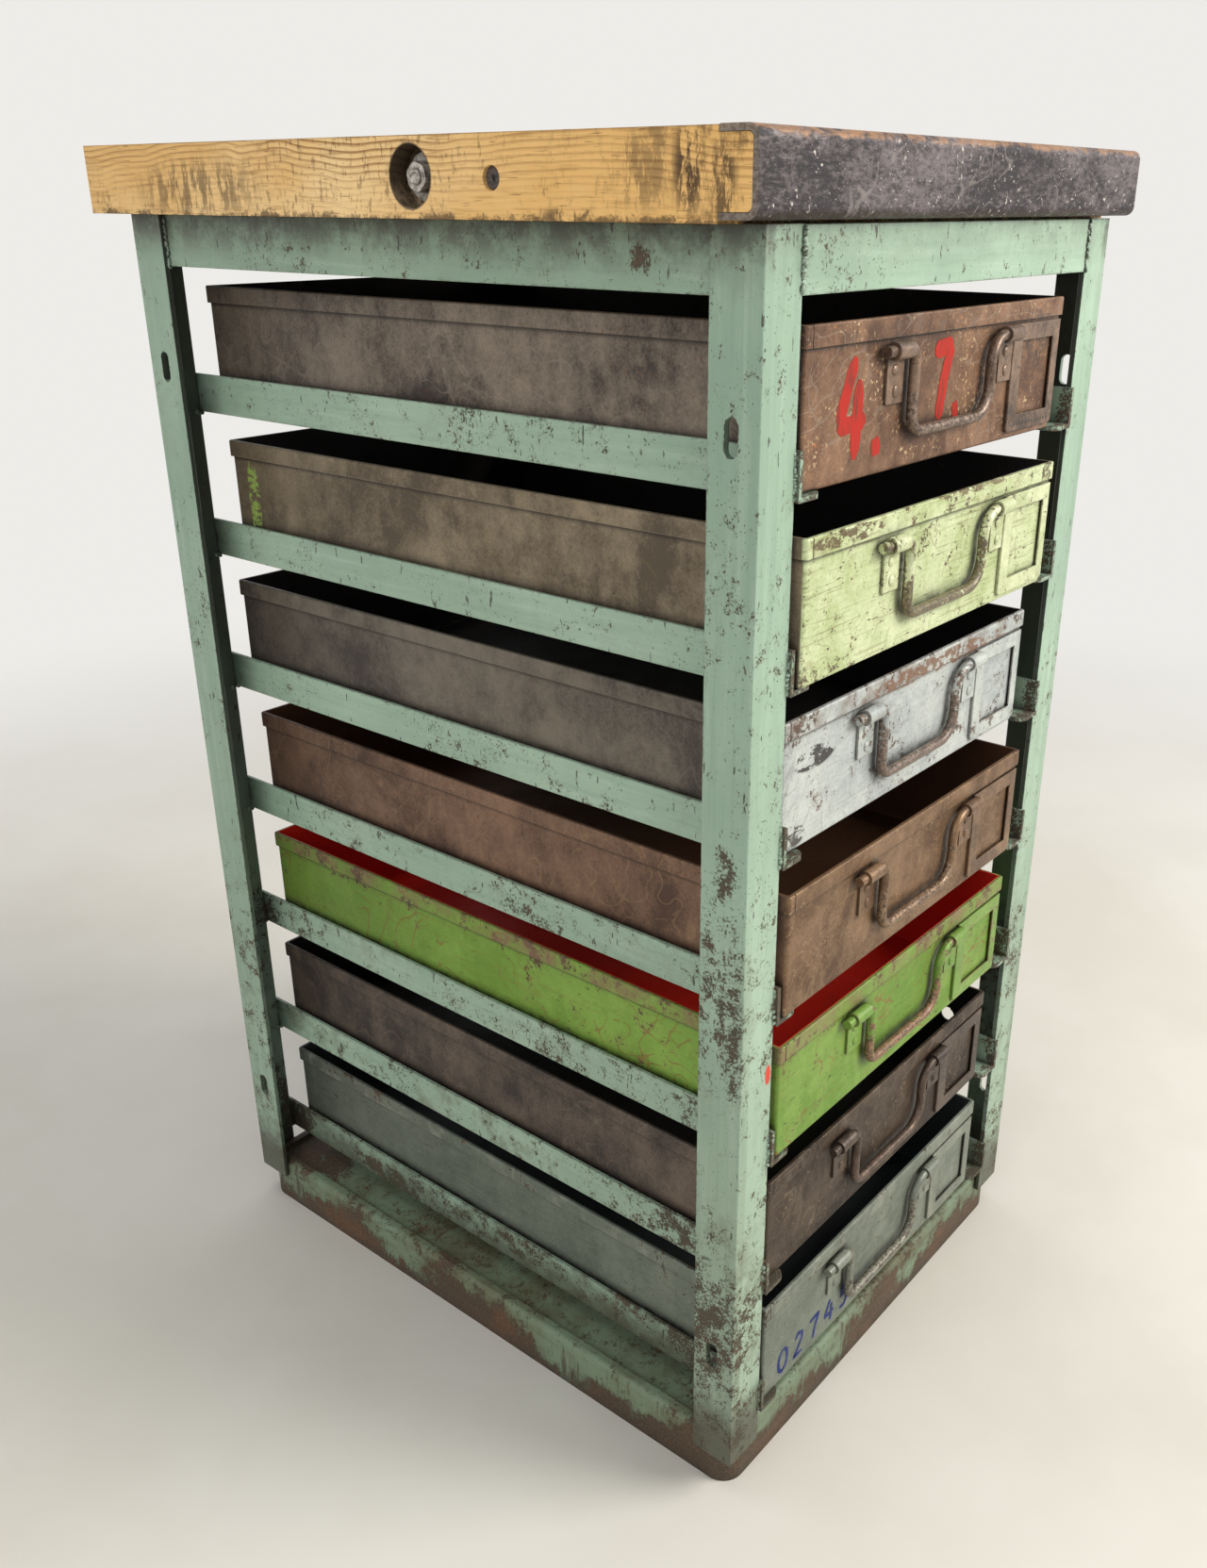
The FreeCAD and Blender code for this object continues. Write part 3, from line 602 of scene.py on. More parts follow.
def fastenerSteel(look):
    net = newMaterial("fastenerSteel", 0.6, 0.45, 0.5)
    edge = net.mask("edgeFinder", Radius=0.001, Breakup=0.3)
    tone = net.step(net.noise(240, 5, 0.65), 0.35, 0.7)
    net.colour = net.blend(tone, look["dark"], look["light"])
    rust = net.shared("rustTone", Warmth=0.5)["Color"]
    net.coat(net.step(net.noise(150, 5), 0.54, 0.64, 0, 0.8), rust)
    net.coat(edge, look["edge"], 0.7)
    # Painted shade and dirt where washers, nuts and rod meet.
    net.coat(net.mask("creviceShade", Reach=0.004, Strength=1), look["dirt"])
    net.surface(net.noise(400, 4), 0.0004, 0.6)
    return net.made


plugLook = {
    # The dark middle colour is painted shade in the plug's hole, with how far it reaches.
    "dark": rgb(62, 55, 52), "light": rgb(104, 94, 88), "holeShade": rgb(22, 18, 16),
    "holeShadeReach": (50 * mm, 2.2 * mm, 3.4 * mm),
}


def plugFiller(look):
    net = newMaterial("plugFiller", 0, 0.7, 0.3)
    lump = net.noise(500, 5, 0.7)
    low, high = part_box("hole_plug")
    # Painted shade: a dark spot in the middle stands for the shadowed hole.
    holeShade = net.spot((low + high) / 2, look["holeShadeReach"])
    skin = net.blend(net.step(lump, 0.35, 0.65), look["dark"], look["light"])
    net.colour = net.blend(holeShade, skin, look["holeShade"])
    net.surface(lump, 0.0012, 0.8)
    return net.made


# One look for each drawer, from the top one down: bare ones have flecks, painted ones chips and brush lines.
# Front and side each have a dark and a light colour.
drawerLooks = {
    1: {
        "front": (rgb(82, 56, 39), rgb(148, 111, 82)), "side": (rgb(58, 49, 43), rgb(136, 122, 106)),
        "inside": rgb(36, 30, 27), "hem": rgb(106, 88, 75), "scratch": rgb(150, 136, 120),
        "rust": 0.6, "shine": 0.3, "hemWear": 0.35, "flecks": 1,
    },
    2: {
        "front": (rgb(166, 180, 124), rgb(212, 219, 176)), "side": (rgb(86, 74, 59), rgb(150, 134, 108)),
        "inside": rgb(34, 29, 26), "hem": rgb(150, 150, 104), "scratch": rgb(120, 104, 66),
        "rust": 0.3, "shine": 0.2, "hemWear": 0.5,
        "painted": "front", "nickFrom": 0.64, "rimChips": 0.12, "brushLines": 0.42, "chips": 0.75,
    },
    3: {
        "front": (rgb(160, 166, 164), rgb(198, 202, 196)), "side": (rgb(66, 58, 52), rgb(118, 108, 94)),
        "inside": rgb(32, 28, 26), "hem": rgb(112, 88, 72), "scratch": rgb(110, 104, 98),
        "rust": 0.3, "shine": 0.25, "hemWear": 0.85,
        "painted": "front", "nickFrom": 0.665, "rimChips": 0.3, "brushLines": 0.15, "chips": 0.55,
    },
    4: {
        "front": (rgb(84, 60, 42), rgb(136, 106, 76)), "side": (rgb(80, 58, 46), rgb(136, 104, 82)),
        "inside": rgb(92, 60, 38), "hem": rgb(124, 98, 76), "scratch": rgb(158, 128, 92),
        "rust": 0.7, "shine": 0.35, "hemWear": 0.5, "flecks": 0.5,
    },
    5: {
        "front": (rgb(96, 132, 44), rgb(122, 154, 62)), "side": (rgb(104, 140, 46), rgb(130, 166, 66)),
        "inside": rgb(236, 44, 26), "hem": rgb(132, 98, 78), "scratch": rgb(132, 74, 42), "scratchShare": 0.6,
        "rust": 0.2, "shine": 0.1, "hemWear": 0.95,
        "painted": "all", "nickFrom": 0.655, "rimChips": 0.35, "brushLines": 0.16, "chips": 0.45,
    },
    6: {
        "front": (rgb(36, 27, 21), rgb(76, 59, 44)), "side": (rgb(56, 49, 45), rgb(112, 97, 84)),
        "inside": rgb(36, 31, 29), "hem": rgb(96, 82, 70), "scratch": rgb(128, 112, 96),
        "rust": 0.4, "shine": 0.35, "hemWear": 0.4, "flecks": 0.35,
    },
    7: {
        "front": (rgb(98, 106, 94), rgb(128, 134, 120)), "side": (rgb(88, 96, 84), rgb(118, 126, 112)),
        "inside": rgb(58, 64, 62), "hem": rgb(144, 146, 132), "scratch": rgb(84, 82, 70),
        "rust": 0.2, "shine": 0.2, "hemWear": 0.6,
        "painted": "all", "nickFrom": 0.67, "rimChips": 0.3, "brushLines": 0.1, "chips": 0.35,
    },
}

# Marks that sit on one drawer only: middle and reach in metres, colour and strength
drawerMarks = {
    1: [((0.128, -0.325, 0.92), (0.04, 0.01, 0.034), rgb(70, 56, 48), 0.6)],
    2: [
        ((-0.203, 0.262, 0.77), (0.01, 0.011, 0.05), rgb(150, 176, 88), 1),
        ((-0.15, -0.33, 0.815), (0.06, 0.01, 0.008), rgb(88, 66, 40), 0.9),
        ((0.03, -0.33, 0.822), (0.09, 0.01, 0.007), rgb(96, 72, 44), 0.8),
    ],
    3: [
        ((-0.16, -0.32, 0.655), (0.04, 0.01, 0.013), rgb(44, 37, 32), 0.95),
        ((-0.18, -0.32, 0.6), (0.016, 0.01, 0.012), rgb(48, 40, 34), 0.9),
        ((0.02, -0.325, 0.681), (0.17, 0.02, 0.012), rgb(122, 88, 64), 0.9),
    ],
}

# How far in from the box's own limits each surface lies, in metres
sheetPlaces = {
    "front": (4.2 * mm, 3.4 * mm),
    "wall": (2.8 * mm, 3.3 * mm),
    "floor": (0.6 * mm, 1.1 * mm),
    "hem": (15 * mm, 13 * mm),
    "underHem": (18.5 * mm, 14.2 * mm),
    "hemEdge": (13.6 * mm, 14 * mm),
    "rim": (30 * mm, 2 * mm),
}
sheetColours = {
    "rearShade": rgb(42, 36, 31), "dirt": rgb(36, 29, 24),
    "rustFleck": rgb(176, 104, 48), "paleFleck": rgb(198, 172, 130),
}


def insideOf(net, low, high):
    # 1 on the walls' and the bottom's inner faces
    axes = net.axes()
    start, end = sheetPlaces["wall"]
    within = [
        net.times(
            net.step(axes[i], low[i] + start, low[i] + end),
            net.step(axes[i], high[i] - start, high[i] - end),
        )
        for i in (0, 1)
    ]
    start, end = sheetPlaces["floor"]
    return net.times(net.times(*within), net.step(axes[2], low.z + start, low.z + end))


def chipPaint(net, look, edge, onFront, top):
    # Brush lines, nicks and chips down to rust; returns the mask of lost paint.
    painted = onFront if look["painted"] == "front" else 1
    start, end = sheetPlaces["rim"]
    nearRim = net.step(net.axes()[2], top - start, top - end, 0, look["rimChips"])
    loss = net.shared("paintLoss", Size=88, Amount=look["chips"], Edge=edge, Zone=nearRim)
    bare = net.shared("rustTone", Warmth=0.3)["Color"]
    nicks = net.drawn((0.28, 0.28, 1), 280, 4, 0.68)
    nicks = net.step(nicks, look["nickFrom"], look["nickFrom"] + 0.02)
    chip = net.times(net.most(loss["Mask"], nicks), painted, clamp=True)
    brushed = net.step(net.drawn((0.1, 0.1, 1), 300, 4, 0.6), 0.45, 0.7, 0, 0.35)
    net.coat(brushed, look["front"][1], painted)
    hairLines = net.drawn((0.03, 0.03, 1), 420, 3, 0.6)
    hairLines = net.step(hairLines, 0.57, 0.64, 0, look["brushLines"])
    net.coat(hairLines, look["scratch"], painted)
    net.coat(net.times(loss["Rim"], painted), look["hem"], 0.3)
    net.coat(chip, bare, 0.9)
    return chip


def drawerSheet(number, look):
    # Front, outer sides and inside each have their own finish; the places come from the box's own corners.
    net = newMaterial("drawerSheet%d" % number, look["shine"], 0.5, 0.45)
    low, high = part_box("drawer_%d_box" % number)
    depth, height = net.axes()[1:]
    isPainted = "painted" in look

    def onHeight(name):
        start, end = sheetPlaces[name]
        return net.step(height, high.z - start, high.z - end)

    def steel(dark, light, clouds):
        return net.shared("oldSteel", Dark=dark, Light=light, Clouds=clouds, Rust=look["rust"])

    edge = net.mask("edgeFinder", Radius=0.0018, Breakup=0.6)
    start, end = sheetPlaces["front"]
    onFront = net.step(depth, low.y + start, low.y + end)
    within = insideOf(net, low, high)
    front = steel(*look["front"], 12)
    side = steel(*look["side"], 6.5)
    net.colour = net.blend(onFront, side["Color"], front["Color"])
    rough = net.scaled(onFront, net.less(front["Rough"], side["Rough"]), side["Rough"])
    relief = side["Height"]
    scratch = net.mask("scratches", Amount=0.5)
    net.coat(scratch, look["scratch"], look.get("scratchShare", 0.3))
    if isPainted:
        chip = chipPaint(net, look, edge, onFront, high.z)
        rough = net.scaled(chip, 0.2, rough, clamp=True)
        relief = net.scaled(chip, -0.25, relief)
    rearward = net.times(net.step(depth, -0.02, 0.3, 0, 0.34), net.step(onFront, 1, 0))
    net.coat(rearward, sheetColours["rearShade"])
    worn = net.noise(30, 7, 0.7)
    onHem = net.times(onHeight("hem"), net.step(worn, net.less(0.7, look["hemWear"] * 0.36), 0.68))
    ridge = net.most(onHem, net.times(edge, 1 if isPainted else 0.6), clamp=True)
    sideHem = look["side"][1] if look.get("painted") == "front" else look["hem"]
    net.coat(ridge, net.blend(onFront, sideHem, look["hem"]), 0.78)
    # Painted shade: a dark band right under the hem, and painted shade with dirt in the crevices.
    underHem = net.times(onHeight("underHem"), onHeight("hemEdge"))
    dirt = net.most(net.mask("creviceShade", Reach=0.009, Strength=0.9), net.times(underHem, 0.75))
    net.coat(dirt, sheetColours["dirt"], net.step(within, 1, 0))
    if not isPainted:
        fleck = net.step(net.noise(300, 4, 0.7), 0.585, 0.62)
        where = net.step(net.noise(22, 5, 0.65), 0.44, 0.62, 0, look["flecks"])
        tint = net.step(net.noise(150, 2), 0.45, 0.55)
        warm = net.blend(tint, sheetColours["rustFleck"], sheetColours["paleFleck"])
        net.coat(net.times(fleck, where), warm, onFront)
    for at, reach, tint, share in drawerMarks.get(number, []):
        torn = net.step(net.drawn((0.6, 0.6, 1), 150, 6, 0.72), 0.46, 0.54)
        shape = net.times(net.spot(at, reach), torn)
        net.coat(net.step(shape, 0.15, 0.4), tint, share)
    net.coat(within, steel(look["inside"], look["inside"], 7)["Color"])
    relief = net.times(net.scaled(scratch, -0.2, relief), 0.35)
    relief = net.scaled(net.noise(7, 2, 0.4), 1.6, relief)
    net.surface(relief, 0.0022, 0.6, rough)
    return net.made


fittingLooks = {
    1: {"dark": rgb(72, 57, 46), "light": rgb(144, 118, 97), "bar": rgb(142, 122, 106), "chips": 0.4, "metal": 0.35},
    2: {"dark": rgb(168, 178, 128), "light": rgb(212, 217, 176), "bar": rgb(128, 114, 82), "chips": 0.9, "metal": 0.05},
    3: {"dark": rgb(158, 164, 160), "light": rgb(194, 198, 190), "bar": rgb(134, 112, 96), "chips": 0.8, "metal": 0.08},
    4: {"dark": rgb(90, 66, 48), "light": rgb(142, 112, 82), "bar": rgb(156, 128, 100), "chips": 0.4, "metal": 0.35},
    5: {"dark": rgb(96, 132, 46), "light": rgb(122, 154, 66), "bar": rgb(158, 112, 88), "chips": 0.8, "metal": 0.05},
    6: {"dark": rgb(52, 42, 36), "light": rgb(96, 80, 67), "bar": rgb(112, 92, 78), "chips": 0.4, "metal": 0.35},
    7: {"dark": rgb(104, 110, 98), "light": rgb(136, 140, 124), "bar": rgb(142, 140, 124), "chips": 0.6, "metal": 0.1},
}
fittingColours = {"bare": rgb(72, 58, 48), "dirt": rgb(40, 32, 27), "dots": rgb(44, 33, 26)}
dotRow = {"pitch": 5.4 * mm, "up": 5 * mm, "radius": 1.7 * mm, "margin": 8 * mm}


def labelDots(net):
    # A row of punched dots along the lower edge of the top drawer's label frame.
    low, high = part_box("drawer_1_label")
    x, y, z = net.axes()
    turn = net.calc("FRACT", net.calc("DIVIDE", net.less(x, low.x), dotRow["pitch"]))
    aside = net.times(net.less(turn, 0.5), dotRow["pitch"])
    far = net.radius(aside, net.less(z, low.z + dotRow["up"]))
    inside = net.times(
        net.calc("GREATER_THAN", x, low.x + dotRow["margin"]),
        net.calc("LESS_THAN", x, high.x - dotRow["margin"]),
    )
    return net.times(net.step(far, dotRow["radius"], dotRow["radius"] * 0.6), inside)


def fittingMetal(number, look, isBar):
    # Straps, label frames and handles: the drawer's paint, worn to metal on edges and on the grip.
    name = ("handleWire%d" if isBar else "fittingPlate%d") % number
    metallic = look["metal"] + (0.15 if isBar else 0)
    net = newMaterial(name, metallic, 0.4, 0.5)
    edge = net.mask("edgeFinder", Radius=0.0012 if isBar else 0.0013, Breakup=0.5)
    skin = net.shared("oldSteel", Dark=look["dark"], Light=look["light"], Clouds=26, Rust=0.4)
    zone = 0
    if isBar:
        low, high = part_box("drawer_%d_bail" % number)
        zone = net.step(net.axes()[2], high.z - 0.01, low.z + 0.01, 0.3, 1)
    loss = net.mask("paintLoss", Size=120, Amount=look["chips"], Edge=edge, Zone=zone)
    grain = net.noise(380, 4, 0.6)
    bare = net.blend(net.step(grain, 0.35, 0.66), fittingColours["bare"], look["bar"])
    net.colour = net.blend(net.times(loss, 0.95), skin["Color"], bare)
    net.coat(edge, look["bar"], 0.5)
    pits = net.mask("specks", Size=420, Amount=0.42)
    # Painted shade and dirt in the crevices, together with dark pits.
    dirt = net.mask("creviceShade", Reach=0.005, Strength=0.8)
    net.coat(net.most(dirt, net.times(pits, 0.7)), fittingColours["dirt"])
    if number == 1 and not isBar:
        net.coat(labelDots(net), fittingColours["dots"])
    rough = net.step(grain, 0.3, 0.7, 0.32, 0.5)
    net.surface(net.scaled(grain, 0.4, net.times(loss, -0.3)), 0.0007, 0.7, rough)
    return net.made


def brushPaint(name, colour, thin):
    # Hand-painted marks: streaky colour that thins along the stroke.
    net = newMaterial(name, 0, 0.62, 0.25)
    streak = net.drawn((1, 1, 0.18), 260, 4, 0.6)
    net.colour = net.blend(net.step(streak, 0.45, 0.68), colour, thin)
    net.surface(streak, 0.0004, 0.6)
    return net.made


def dress(name, material):
    slots = nodes[name].material_slots
    if not slots:
        nodes[name].data.materials.append(material)
    for slot in slots:
        slot.material = material


def dressFrame():
    upright = framePaint("uprightPaint", frameLook, (1, 1, 0.05), True)
    level = framePaint("railPaint", frameLook, (0.06, 0.06, 1), False)
    for name in nodes:
        if name.startswith("post_"):
            dress(name, upright)
        if name.startswith(("top_rail_", "runners_")):
            dress(name, level)
    ring = basePaint("baseRingPaint", baseLook, 0.55)
    for side in ("front", "rear", "left", "right"):
        dress("base_rail_" + side, ring)
    dress("base_plate", basePaint("basePlatePaint", baseLook, 0.3))
    dress("wood_top", woodPlank(woodLook))
    dress("steel_edge", edgeSteel(edgeLook))
    fastener = fastenerSteel(fastenerLook)
    for name in ("tie_rod", "tie_washers", "tie_nuts"):
        dress(name, fastener)
    dress("hole_plug", plugFiller(plugLook))
    return upright


def dressDrawers():
    plates = {}
    for number in drawerNumbers:
        dress("drawer_%d_box" % number, drawerSheet(number, drawerLooks[number]))
        plates[number] = fittingMetal(number, fittingLooks[number], False)
        dress("drawer_%d_label" % number, plates[number])
        dress("drawer_%d_straps" % number, plates[number])
        dress("drawer_%d_bail" % number, fittingMetal(number, fittingLooks[number], True))
    return plates


frameMaterial = dressFrame()
plateMaterials = dressDrawers()
print("frame and drawers dressed")


# Geometry trees
class Tree(Net):
    def __init__(self, name, inputs):
        super().__init__(bpy.data.node_groups.new(name, "GeometryNodeTree"))
        for way in ("INPUT", "OUTPUT"):
            addSocket(self.tree, "Geometry", way, "Geometry")
        for socketName, value in inputs.items():
            addSocket(self.tree, socketName, "INPUT", "Float", value)
        addSocket(self.tree, "Material", "INPUT", "Material")
        self.given = self.add("NodeGroupInput").outputs
        self.out = self.add("NodeGroupOutput").inputs[0]

    def grow(self, kind, geometry, **feeds):
        made = self.add(kind, feeds)
        self.feed(made.inputs[0], geometry)
        return made.outputs[0]

    def random(self, low, high, seed):
        made = self.add("FunctionNodeRandomValue", {0: low, 1: high, "Seed": seed}, data_type="FLOAT_VECTOR")
        return made.outputs[0]

    def finish(self, geometry):
        real = self.grow("GeometryNodeRealizeInstances", geometry)
        smooth = self.grow("GeometryNodeSetShadeSmooth", real)
        self.feed(self.out, self.grow("GeometryNodeSetMaterial", smooth, Material=self.given["Material"]))


def rivetTree():
    # A flattened ball on each point; its rear half sinks into the strap.
    tree = Tree("rivetHeads", {"Head Radius": 0.0042, "Head Height": 0.0022})
    wide, tall = tree.given["Head Radius"], tree.given["Head Height"]
    ball = tree.add("GeometryNodeMeshUVSphere", {"Segments": 20, "Rings": 12, "Radius": 1}).outputs[0]
    size = tree.add("ShaderNodeCombineXYZ", {"X": wide, "Y": tall, "Z": wide}).outputs[0]
    dome = tree.grow("GeometryNodeTransform", ball, Scale=size)
    spread = tree.random((0.88, 0.7, 0.88), (1.1, 1.1, 1.1), 3)
    tree.finish(tree.grow("GeometryNodeInstanceOnPoints", tree.given["Geometry"], Instance=dome, Scale=spread))
    return tree.tree


def weldTree():
    # Overlapping lumps along each seam, uneven in size and turn.
    tree = Tree("weldBeads", {"Step": 0.0022, "Bead Radius": 0.0028, "Wander": 0.0007})
    line = tree.grow("GeometryNodeMeshToCurve", tree.given["Geometry"])
    feeds = {"Curve": line, "Length": tree.given["Step"]}
    along = tree.add("GeometryNodeCurveToPoints", feeds, mode="LENGTH").outputs[0]
    away = tree.random((-1, -1, -1), (1, 1, 1), 11)
    feeds = {0: away, "Scale": tree.given["Wander"]}
    wander = tree.add("ShaderNodeVectorMath", feeds, operation="SCALE").outputs[0]
    moved = tree.grow("GeometryNodeSetPosition", along, Offset=wander)
    feeds = {"Radius": tree.given["Bead Radius"], "Subdivisions": 2}
    lump = tree.add("GeometryNodeMeshIcoSphere", feeds).outputs[0]
    turn = tree.random((0, 0, 0), (6.28, 6.28, 6.28), 5)
    size = tree.random((0.6, 0.6, 0.6), (1.2, 1.2, 1.2), 8)
    tree.finish(tree.grow("GeometryNodeInstanceOnPoints", moved, Instance=lump, Rotation=turn, Scale=size))
    return tree.tree


def socketId(tree, name):
    for item in tree.interface.items_tree:
        if item.name == name and item.in_out == "INPUT":
            return item.identifier
    raise KeyError(name)


def addPiece(name, mesh, body):
    piece = bpy.data.objects.new(name, mesh)
    bpy.context.scene.collection.objects.link(piece)
    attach(piece, body)


def growPiece(name, verts, edges, tree, values, body):
    seed = bpy.data.meshes.new(name + "Seed")
    seed.from_pydata(verts, edges, [])
    maker = bpy.data.objects.new(name + "Maker", seed)
    bpy.context.scene.collection.objects.link(maker)
    modifier = maker.modifiers.new("grow", "NODES")
    modifier.node_group = tree
    for key, value in values.items():
        modifier[socketId(tree, key)] = value
    ready = maker.evaluated_get(bpy.context.evaluated_depsgraph_get())
    mesh = bpy.data.meshes.new_from_object(ready)
    mesh.name = name
    bpy.data.objects.remove(maker)
    addPiece(name, mesh, body)


# The drawer's hem stands this far out from its front sheet, and the straps lie on the sheet.
hemOut = 2 * mm
rivetSizes = {
    "radius": 4 * mm, "height": 1.9 * mm, "fromEdge": 11 * mm, "down": (35 * mm, 49 * mm),
    "strapWall": 2 * mm, "lean": 0.12, "leanFrom": 42 * mm,
}


def addRivets():
    tree = rivetTree()
    for number in drawerNumbers:
        low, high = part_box("drawer_%d_straps" % number)
        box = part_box("drawer_%d_box" % number)
        face = box[0].y + hemOut - rivetSizes["strapWall"]
        points = []
        for x in (low.x + rivetSizes["fromEdge"], high.x - rivetSizes["fromEdge"]):
            for down in rivetSizes["down"]:
                aside = (down - rivetSizes["leanFrom"]) * rivetSizes["lean"]
                points.append((x + aside, face, box[1].z - down))
        values = {
            "Head Radius": rivetSizes["radius"],
            "Head Height": rivetSizes["height"],
            "Material": plateMaterials[number],
        }
        growPiece("rivets_%d" % number, points, [], tree, values, "drawer_%d" % number)


weldSizes = {
    "step": 2 * mm, "radius": 2.7 * mm, "frontIn": 1 * mm, "endGap": 3 * mm, "flange": 5 * mm,
    "lap": 0.5 * mm, "lapLength": 4 * mm, "railGap": 2 * mm, "postWall": 5.3 * mm, "postDown": (39 * mm, 3 * mm),
}


def runnerSeams(number):
    lines = []
    low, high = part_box("runners_%d" % number)
    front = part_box("post_front_left")[0].y
    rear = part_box("post_rear_left")[1].y
    gap, lap, flange = weldSizes["endGap"], weldSizes["lap"], weldSizes["flange"]
    for x in (low.x, high.x):
        for y in (front + weldSizes["frontIn"], rear):
            lines.append([(x, y, low.z + gap), (x, y, high.z - gap)])
        inner = 1 if x < 0 else -1
        for y in (front + flange, rear - flange):
            start = (x + inner * lap, y, low.z - lap)
            lines.append([start, (x - inner * weldSizes["lapLength"], y, low.z + lap)])
    return lines


def seamLines():
    lines = []
    for number in drawerNumbers:
        lines += runnerSeams(number)
    gap = weldSizes["railGap"]
    for rail, face in ((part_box("top_rail_front"), 0), (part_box("top_rail_rear"), 1)):
        y = rail[face].y
        for x in (rail[0].x, rail[1].x):
            lines.append([(x, y, rail[0].z + gap), (x, y, rail[1].z - gap)])
    start, stop = weldSizes["postDown"]
    for end in ("front", "rear"):
        for side in ("left", "right"):
            low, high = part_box("post_%s_%s" % (end, side))
            x = low.x + weldSizes["postWall"] if side == "left" else high.x - weldSizes["postWall"]
            y = high.y if end == "front" else low.y
            lines.append([(x, y, high.z - start), (x, y, high.z - stop)])
    return lines


def addWelds():
    verts = []
    edges = []
    for start, stop in seamLines():
        verts += [start, stop]
        edges.append((len(verts) - 2, len(verts) - 1))
    values = {"Step": weldSizes["step"], "Bead Radius": weldSizes["radius"], "Material": frameMaterial}
    growPiece("weld_beads", verts, edges, weldTree(), values, "rack")


addRivets()
addWelds()
print("rivets and welds grown")


# Painted numbers: each stroke is a list of points in a unit box, x to the right and y up
digitStrokes = {
    "0": [[
        (0.5, 1), (0.2, 0.85), (0.1, 0.5), (0.2, 0.15), (0.5, 0), (0.8, 0.15), (0.9, 0.5), (0.8, 0.85), (0.5, 1),
    ]],
    "2": [[(0.12, 0.8), (0.4, 1), (0.75, 0.9), (0.8, 0.65), (0.45, 0.3), (0.1, 0.02), (0.9, 0.03)]],
    "4": [[(0.52, 1), (0.06, 0.38)], [(0.02, 0.34), (1, 0.38)], [(0.7, 0.78), (0.66, 0)]],
    "5": [[(0.82, 0.98), (0.28, 0.96), (0.22, 0.58), (0.62, 0.6), (0.85, 0.32), (0.6, 0.04), (0.14, 0.06)]],
    "7": [[(0, 0.92), (0.95, 0.98)], [(0.9, 0.98), (0.58, 0.5), (0.44, 0)]],
    ".": [[(0.1, 0.06), (0.42, 0.1)]],
}
strokeLook = {"parts": 8, "thinnest": 0.35, "uneven": (0.93, 1.07), "lift": 0.02 * mm}


def strokePath(points):
    path = []
    for start, stop in zip(points, points[1:]):
        for step in range(strokeLook["parts"]):
            path.append(Vector(start).lerp(Vector(stop), step / strokeLook["parts"]))
    return path + [Vector(points[-1])]


def strokeMesh(name, strokes, width, front, seed):
    # Flat ribbons with an uneven width and rounded ends, a hair off the sheet.
    rng = random.Random(seed)
    made = bmesh.new()
    for index, points in enumerate(strokes):
        path = strokePath(points)
        count = len(path) - 1
        y = front - index * strokeLook["lift"]
        rows = []
        for i, here in enumerate(path):
            along = (path[min(i + 1, count)] - path[max(i - 1, 0)]).normalized()
            across = Vector((-along.y, along.x))
            ending = math.sqrt(max(0, 1 - (2 * i / count - 1) ** 8))
            share = strokeLook["thinnest"] + (1 - strokeLook["thinnest"]) * ending
            half = width / 2 * share * rng.uniform(*strokeLook["uneven"])
            sides = (here + across * half, here - across * half)
            rows.append([made.verts.new((side.x, y, side.y)) for side in sides])
        for a, b in zip(rows, rows[1:]):
            made.faces.new((a[0], a[1], b[1], b[0]))
    bmesh.ops.recalc_face_normals(made, faces=made.faces)
    for face in made.faces:
        if face.normal.y > 0:
            face.normal_flip()
    mesh = bpy.data.meshes.new(name)
    made.to_mesh(mesh)
    made.free()
    return mesh


# Each text: place from the box's lower left corner, size of a digit, slant and gap between digits
numberLooks = {
    "red_numbers": {
        "drawer": 1, "material": "redBrushPaint", "colour": rgb(172, 36, 22), "thin": rgb(124, 46, 32),
        "width": 12 * mm, "off": 0.15 * mm, "seed": 4,
        "texts": [
            ("4.", 42 * mm, 14 * mm, 36 * mm, 66 * mm, 0.05, 6 * mm),
            ("7.", 168 * mm, 28 * mm, 27 * mm, 52 * mm, 0.02, 3 * mm),
        ],
    },
    "blue_numbers": {
        "drawer": 7, "material": "blueMarker", "colour": rgb(30, 42, 104), "thin": rgb(58, 68, 112),
        "width": 4 * mm, "off": 0.1 * mm, "seed": 9,
        "texts": [("02745", 24 * mm, 10 * mm, 17 * mm, 25 * mm, 0.06, 8 * mm)],
    },
}


def placeStrokes(text, x, z, wide, high, slant, gap):
    strokes = []
    for letter in text:
        for stroke in digitStrokes[letter]:
            strokes.append([(x + (px + slant * py) * wide, z + py * high) for px, py in stroke])
        x += wide + gap
    return strokes


def addNumbers():
    for name, look in numberLooks.items():
        body = "drawer_%d" % look["drawer"]
        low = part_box("drawer_%d_box" % look["drawer"])[0]
        strokes = []
        for text, x, z, *sizes in look["texts"]:
            strokes += placeStrokes(text, low.x + x, low.z + z, *sizes)
        front = low.y + hemOut - look["off"]
        mesh = strokeMesh(name, strokes, look["width"], front, look["seed"])
        mesh.materials.append(brushPaint(look["material"], look["colour"], look["thin"]))
        addPiece(name, mesh, body)


addNumbers()
print("numbers painted")


# Stage
stageLook = {
    "floor": rgb(218, 214, 204), "patch": rgb(208, 203, 191), "air": rgb(238, 236, 232), "fill": rgb(222, 224, 228),
    "size": 60, "fadeFrom": 0.9, "fadeTo": 2.6,
}


def seenRays(net):
    # The camera's own rays, and those that also catch a gloss
    path = net.add("ShaderNodeLightPath").outputs
    return path["Is Camera Ray"], net.most(path["Is Camera Ray"], path["Is Glossy Ray"])


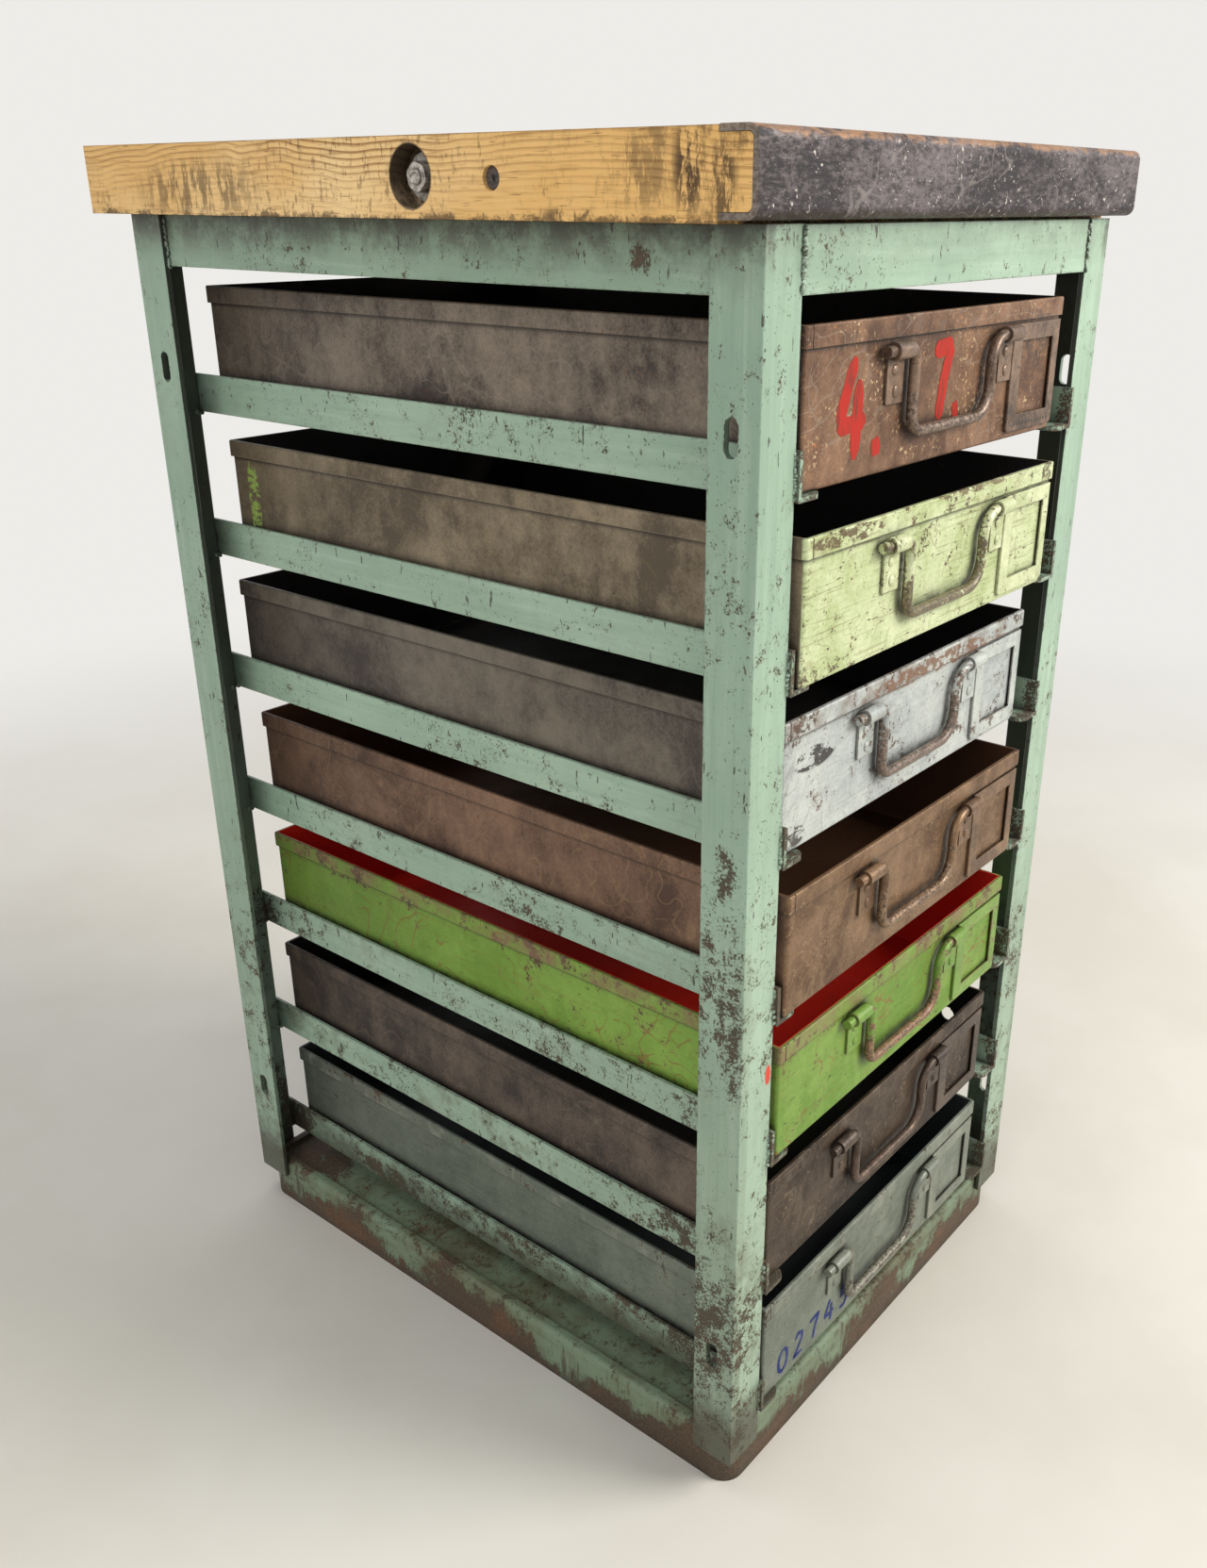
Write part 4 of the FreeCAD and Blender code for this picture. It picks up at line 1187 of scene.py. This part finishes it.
def buildFloor():
    mesh = bpy.data.meshes.new("floor")
    reach = stageLook["size"]
    corners = [(-reach, -reach, 0), (reach, -reach, 0), (reach, reach, 0), (-reach, reach, 0)]
    mesh.from_pydata(corners, [], [(0, 1, 2, 3)])
    floor = bpy.data.objects.new("floor", mesh)
    bpy.context.scene.collection.objects.link(floor)
    net = newMaterial("paleFloor", 0, 0.7, 0.3)
    cloud = net.step(net.noise(1.6, 5, 0.6), 0.35, 0.7)
    net.feed(net.shader.inputs["Base Color"], net.blend(cloud, stageLook["floor"], stageLook["patch"]))
    # Far from the object the floor turns into the pale air, so that no horizon shows.
    seen = seenRays(net)[1]
    fade = net.times(net.step(net.length(net.place), stageLook["fadeFrom"], stageLook["fadeTo"]), seen)
    glow = net.add("ShaderNodeEmission", {"Color": stageLook["air"], "Strength": 1})
    mixed = net.add("ShaderNodeMixShader", {0: fade, 1: net.shader.outputs[0], 2: glow.outputs[0]})
    net.feed(net.tree.get_output_node("ALL").inputs["Surface"], mixed.outputs[0])
    mesh.materials.append(net.made)


def buildAir():
    world = bpy.data.worlds.new("studio")
    bpy.context.scene.world = world
    world.use_nodes = True
    world.node_tree.nodes.clear()
    net = Net(world.node_tree)
    fromCamera, seen = seenRays(net)
    colour = net.blend(fromCamera, stageLook["fill"], stageLook["air"])
    feeds = {"Color": colour, "Strength": net.scaled(seen, 0.5, 0.5)}
    light = net.add("ShaderNodeBackground", feeds)
    net.add("ShaderNodeOutputWorld", {"Surface": light.outputs[0]})


lampList = [
    {"name": "keyLamp", "at": (1.6, -3, 2.6), "size": 2.2, "power": 165, "tint": (1, 0.98, 0.94)},
    {"name": "leftLamp", "at": (-3.2, -0.6, 2.2), "size": 2.6, "power": 43, "tint": (0.98, 0.99, 1)},
    {"name": "topLamp", "at": (0, 0.4, 3.6), "size": 2.4, "power": 36, "tint": (1, 1, 1)},
]
lampAim = (0, 0, 0.5)


def aimed(direction):
    return Vector(direction).to_track_quat("-Z", "Y")


def buildLamps():
    for item in lampList:
        data = bpy.data.lights.new(item["name"], "AREA")
        data.shape = "DISK"
        data.size = item["size"]
        data.energy = item["power"]
        data.color = item["tint"]
        lamp = bpy.data.objects.new(item["name"], data)
        lamp.location = item["at"]
        lamp.rotation_euler = aimed(Vector(lampAim) - lamp.location).to_euler()
        bpy.context.scene.collection.objects.link(lamp)


cameraView = {
    "at": (-0.939, -0.8027, 1.0204),
    "aim": (0.71933, 0.56905, -0.39844),
    "roll": 0.28,
    "lens": 31.487,
    "sensor": 36,
    "shift": (-0.0437, 0.0074),
    "near": 0.05,
}


def buildCamera():
    data = bpy.data.cameras.new("photoCamera")
    data.sensor_fit = "VERTICAL"
    data.sensor_height = cameraView["sensor"]
    data.lens = cameraView["lens"]
    data.shift_x, data.shift_y = cameraView["shift"]
    data.clip_start = cameraView["near"]
    camera = bpy.data.objects.new("photoCamera", data)
    aim = aimed(cameraView["aim"]).to_matrix().to_4x4()
    roll = Matrix.Rotation(math.radians(cameraView["roll"]), 4, "Z")
    camera.matrix_world = Matrix.Translation(cameraView["at"]) @ aim @ roll
    bpy.context.scene.collection.objects.link(camera)
    bpy.context.scene.camera = camera


buildFloor()
buildAir()
buildLamps()
buildCamera()
bpy.context.scene.view_settings.view_transform = "Standard"
print("stage, lamps and camera set")
